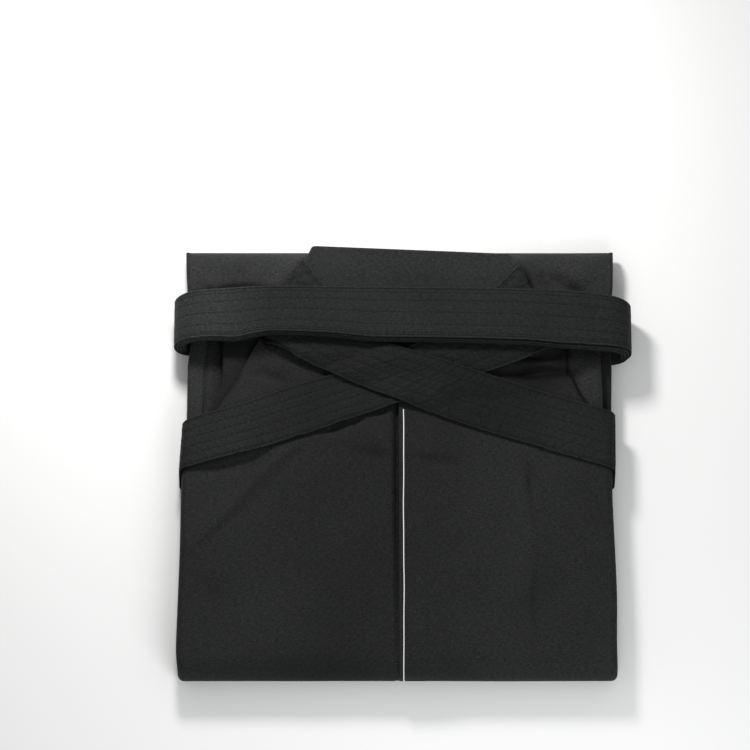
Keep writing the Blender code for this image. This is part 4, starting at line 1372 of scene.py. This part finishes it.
def makeTurn(number):
    # One turn: the path pushed out by the turns under it, swept across from its near edge to its far edge.
    path, outwards = bandPath()
    last = number == garment["turns"]
    inner = path + outwards * ((number - 1) * garment["turnPitch"])
    pathX, pathZ = inner[:, :1], inner[:, 1:]
    shifts = [turnShift[hand][number - 1] for hand in ("left", "right")]
    shift = np.interp(pathX, [-170, 170], shifts)
    near, far = (curve(bandEdges["x"], bandEdges[edge], pathX) - shift for edge in ("near", "far"))
    rows = bandLook["stitchRows"]
    places = quiltedColumns(rows, bandLook["width"])
    if not last:
        places = places[(places < 0.16) | (places > 0.84)]
        places = np.concatenate([places[places < 0.5], [0.35, 0.5, 0.65], places[places > 0.5]])
    y = near + (far - near) * places[None]
    along = runAlong(inner)
    pad = quilting(along[:, None], places[None], rows, bandLook, 50 + number)
    x = np.broadcast_to(pathX, y.shape)
    if last:
        onTop = ease((pathZ - 30.0) / 4.0)
        pad = pad + (creaseHeight(x, y, bandNicks, 13) + undulation(x, y, 50.0, 0.1, 15)) * onTop
    else:
        pad = np.minimum(pad, 0.22)
    groove = stitchGroove(places, rows, bandLook["width"])[None]
    pad = np.clip(pad - 0.3 * groove, -0.5, 0.45)
    innerGrid = joined(x, y, pathZ)
    normal = joined(outwards[:, 0], 0.0, outwards[:, 1])[:, None]
    outerGrid = innerGrid + normal * (garment["strapWall"] + pad)[..., None]
    uv = joined(along[:, None], y) * 0.001
    name = f"frontStrapTurn{number}"
    # painted light, lighter towards the left end and towards the right
    tone = bandLook["shade"] + bandLook["leftPaintedLight"] * ease((-95 - x) / 60)
    tone = tone + bandLook["rightPaintedLight"] * (ease((x - 20) / 80) + ease((x - 110) / 50))
    piece = makeSlab(name, outerGrid, innerGrid, uv, doublePlyRim, strapCloth, tone, groove)
    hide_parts(f"front_strap_turn_{number}")
    if last:
        flip = surfaceNormals(outerGrid)[len(outerGrid) // 2, 5, 2] < 0
        makeStitches(f"{name}Stitches", outerGrid, rows, places, (0.05, 0.95), {**bandStitch, "flip": flip})
        print("band turn", round(float(along[-1]), 1))


# The white basting thread along the pleat

bastingLook = {"x": 0.1, "fromY": 38.0, "radius": 0.40, "twist": 2.6, "step": 0.45, "tail": 6.0}


def makeBasting(outer, flatRows):
    # A twisted thread of two strands: a tube whose section is an oval that turns steadily, on the
    # surface of the right panel, following it down the body and round the near roll.
    x = bastingLook["x"]
    place = np.argmin(np.abs(outer[flatRows // 2, :, 0] - x))
    path = outer[:, place].copy()
    path[:, 0] = x
    path = path[path[:, 1] < bastingLook["fromY"]]
    run = runAlong(path)
    at = np.arange(0, run[-1] - bastingLook["tail"], bastingLook["step"])
    line = np.stack([np.interp(at, run, path[:, axis]) for axis in range(3)], axis=-1)
    line[:, 0] += 0.16 * np.sin(at / 19.0) + 0.08 * np.sin(at / 7.3)
    for _ in range(4):
        line[1:-1] = (line[:-2] + 2 * line[1:-1] + line[2:]) / 4
    sideways = np.array([1.0, 0.0, 0.0])
    up = unit(np.cross(sideways, np.gradient(line, axis=0)))
    up = np.where(up[:1, 2:] < 0, -up, up)
    angle = np.linspace(0, 2 * math.pi, 12, endpoint=False)
    turning = 2 * math.pi * at / bastingLook["twist"]
    radius = bastingLook["radius"] * (1 + 0.17 * np.cos(2 * (angle[None] - turning[:, None])))
    centre = line + up * bastingLook["radius"] * 0.72
    across = sideways * (np.cos(angle) * radius)[..., None]
    rings = centre[:, None] + across + up[:, None] * (np.sin(angle) * radius * 0.85)[..., None]
    uv = np.zeros((len(rings), len(angle) + 1, 2))
    piece = makeTube("bastingThread", rings, uv, whiteThread, None, (True, True))


strapTails = {hand: strapGrid(hand, np.array([[0.0, 0.0, garment["backTop"]]])) for hand in ("left", "right")}
makeLegs(strapTails)
for hand in ("left", "right"):
    makeFrontPanel(hand)
leftOuter, flatRows = makeBackPanel("left")
rightOuter, flatRows = makeBackPanel("right")
makeBoard()
print("body made")

support = np.concatenate(
    [leftOuter[:flatRows:3, ::3].reshape(-1, 3), rightOuter[:flatRows:3, ::3].reshape(-1, 3), boardPoints()]
)
underFace = makeStrap("right", support)
makeStrap("left", np.concatenate([support, underFace[::4, ::4].reshape(-1, 3)]))
for number in range(1, garment["turns"] + 1):
    makeTurn(number)
makeBasting(rightOuter, flatRows)
print("straps made")

# Floor, light and camera

cameraLook = {"aim": (-22.1, 80.7), "distance": 4000.0, "elevation": 68.0, "lens": 240.0}
lightLook = {
    "key": {"place": (-0.16, 0.46, 0.49), "size": 0.16, "power": 3.6, "colour": (1.0, 0.99, 0.98)},
    "fill": {"place": (0.20, -0.66, 0.50), "size": 0.50, "power": 2.8, "colour": (0.97, 1.0, 0.99)},
    "world": 0.42,
}


def makeFloor():
    mesh = bpy.data.meshes.new("floor")
    corners = [(-3.0, -3.0, 0.0), (3.0, -3.0, 0.0), (3.0, 3.0, 0.0), (-3.0, 3.0, 0.0)]
    mesh.from_pydata(corners, [], [(0, 1, 2, 3)])
    floor = bpy.data.objects.new("floor", mesh)
    material, _, shader = newMaterial("paleFloor")
    shader.inputs["Base Color"].default_value = (0.92, 0.92, 0.92, 1.0)
    shader.inputs["Roughness"].default_value = 0.9
    shader.inputs["Specular IOR Level"].default_value = 0.1
    mesh.materials.append(material)
    bpy.context.scene.collection.objects.link(floor)


def makeLight(name, look):
    data = bpy.data.lights.new(name, "AREA")
    data.shape = "DISK"
    data.size = look["size"]
    data.energy = look["power"]
    data.color = look["colour"]
    lamp = bpy.data.objects.new(name, data)
    lamp.location = look["place"]
    lamp.visible_camera = False
    aim = np.array([0.0, 0.0, 0.02]) - np.array(look["place"])
    tilt = math.acos(-aim[2] / np.linalg.norm(aim))
    lamp.rotation_euler = (tilt, 0.0, math.atan2(aim[1], aim[0]) - math.pi / 2)
    bpy.context.scene.collection.objects.link(lamp)


def makeCamera():
    elevation = math.radians(cameraLook["elevation"])
    forward = np.array([0.0, math.cos(elevation), -math.sin(elevation)])
    place = np.array([*cameraLook["aim"], 0.0]) - cameraLook["distance"] * forward
    data = bpy.data.cameras.new("photoView")
    data.lens = cameraLook["lens"]
    data.sensor_width = 36.0
    data.clip_start = 0.1
    data.clip_end = 50.0
    camera = bpy.data.objects.new("photoView", data)
    camera.location = place * 0.001
    camera.rotation_euler = (math.pi / 2 - elevation, 0.0, 0.0)
    bpy.context.scene.collection.objects.link(camera)
    bpy.context.scene.camera = camera


makeFloor()
for name in ("key", "fill"):
    makeLight(name, lightLook[name])
world = bpy.data.worlds.new("softStudio")
world.use_nodes = True
world.node_tree.nodes["Background"].inputs["Color"].default_value = (1.0, 1.0, 1.0, 1.0)
world.node_tree.nodes["Background"].inputs["Strength"].default_value = lightLook["world"]
bpy.context.scene.world = world
bpy.context.scene.view_settings.view_transform = "Standard"
makeCamera()
print("stage made")
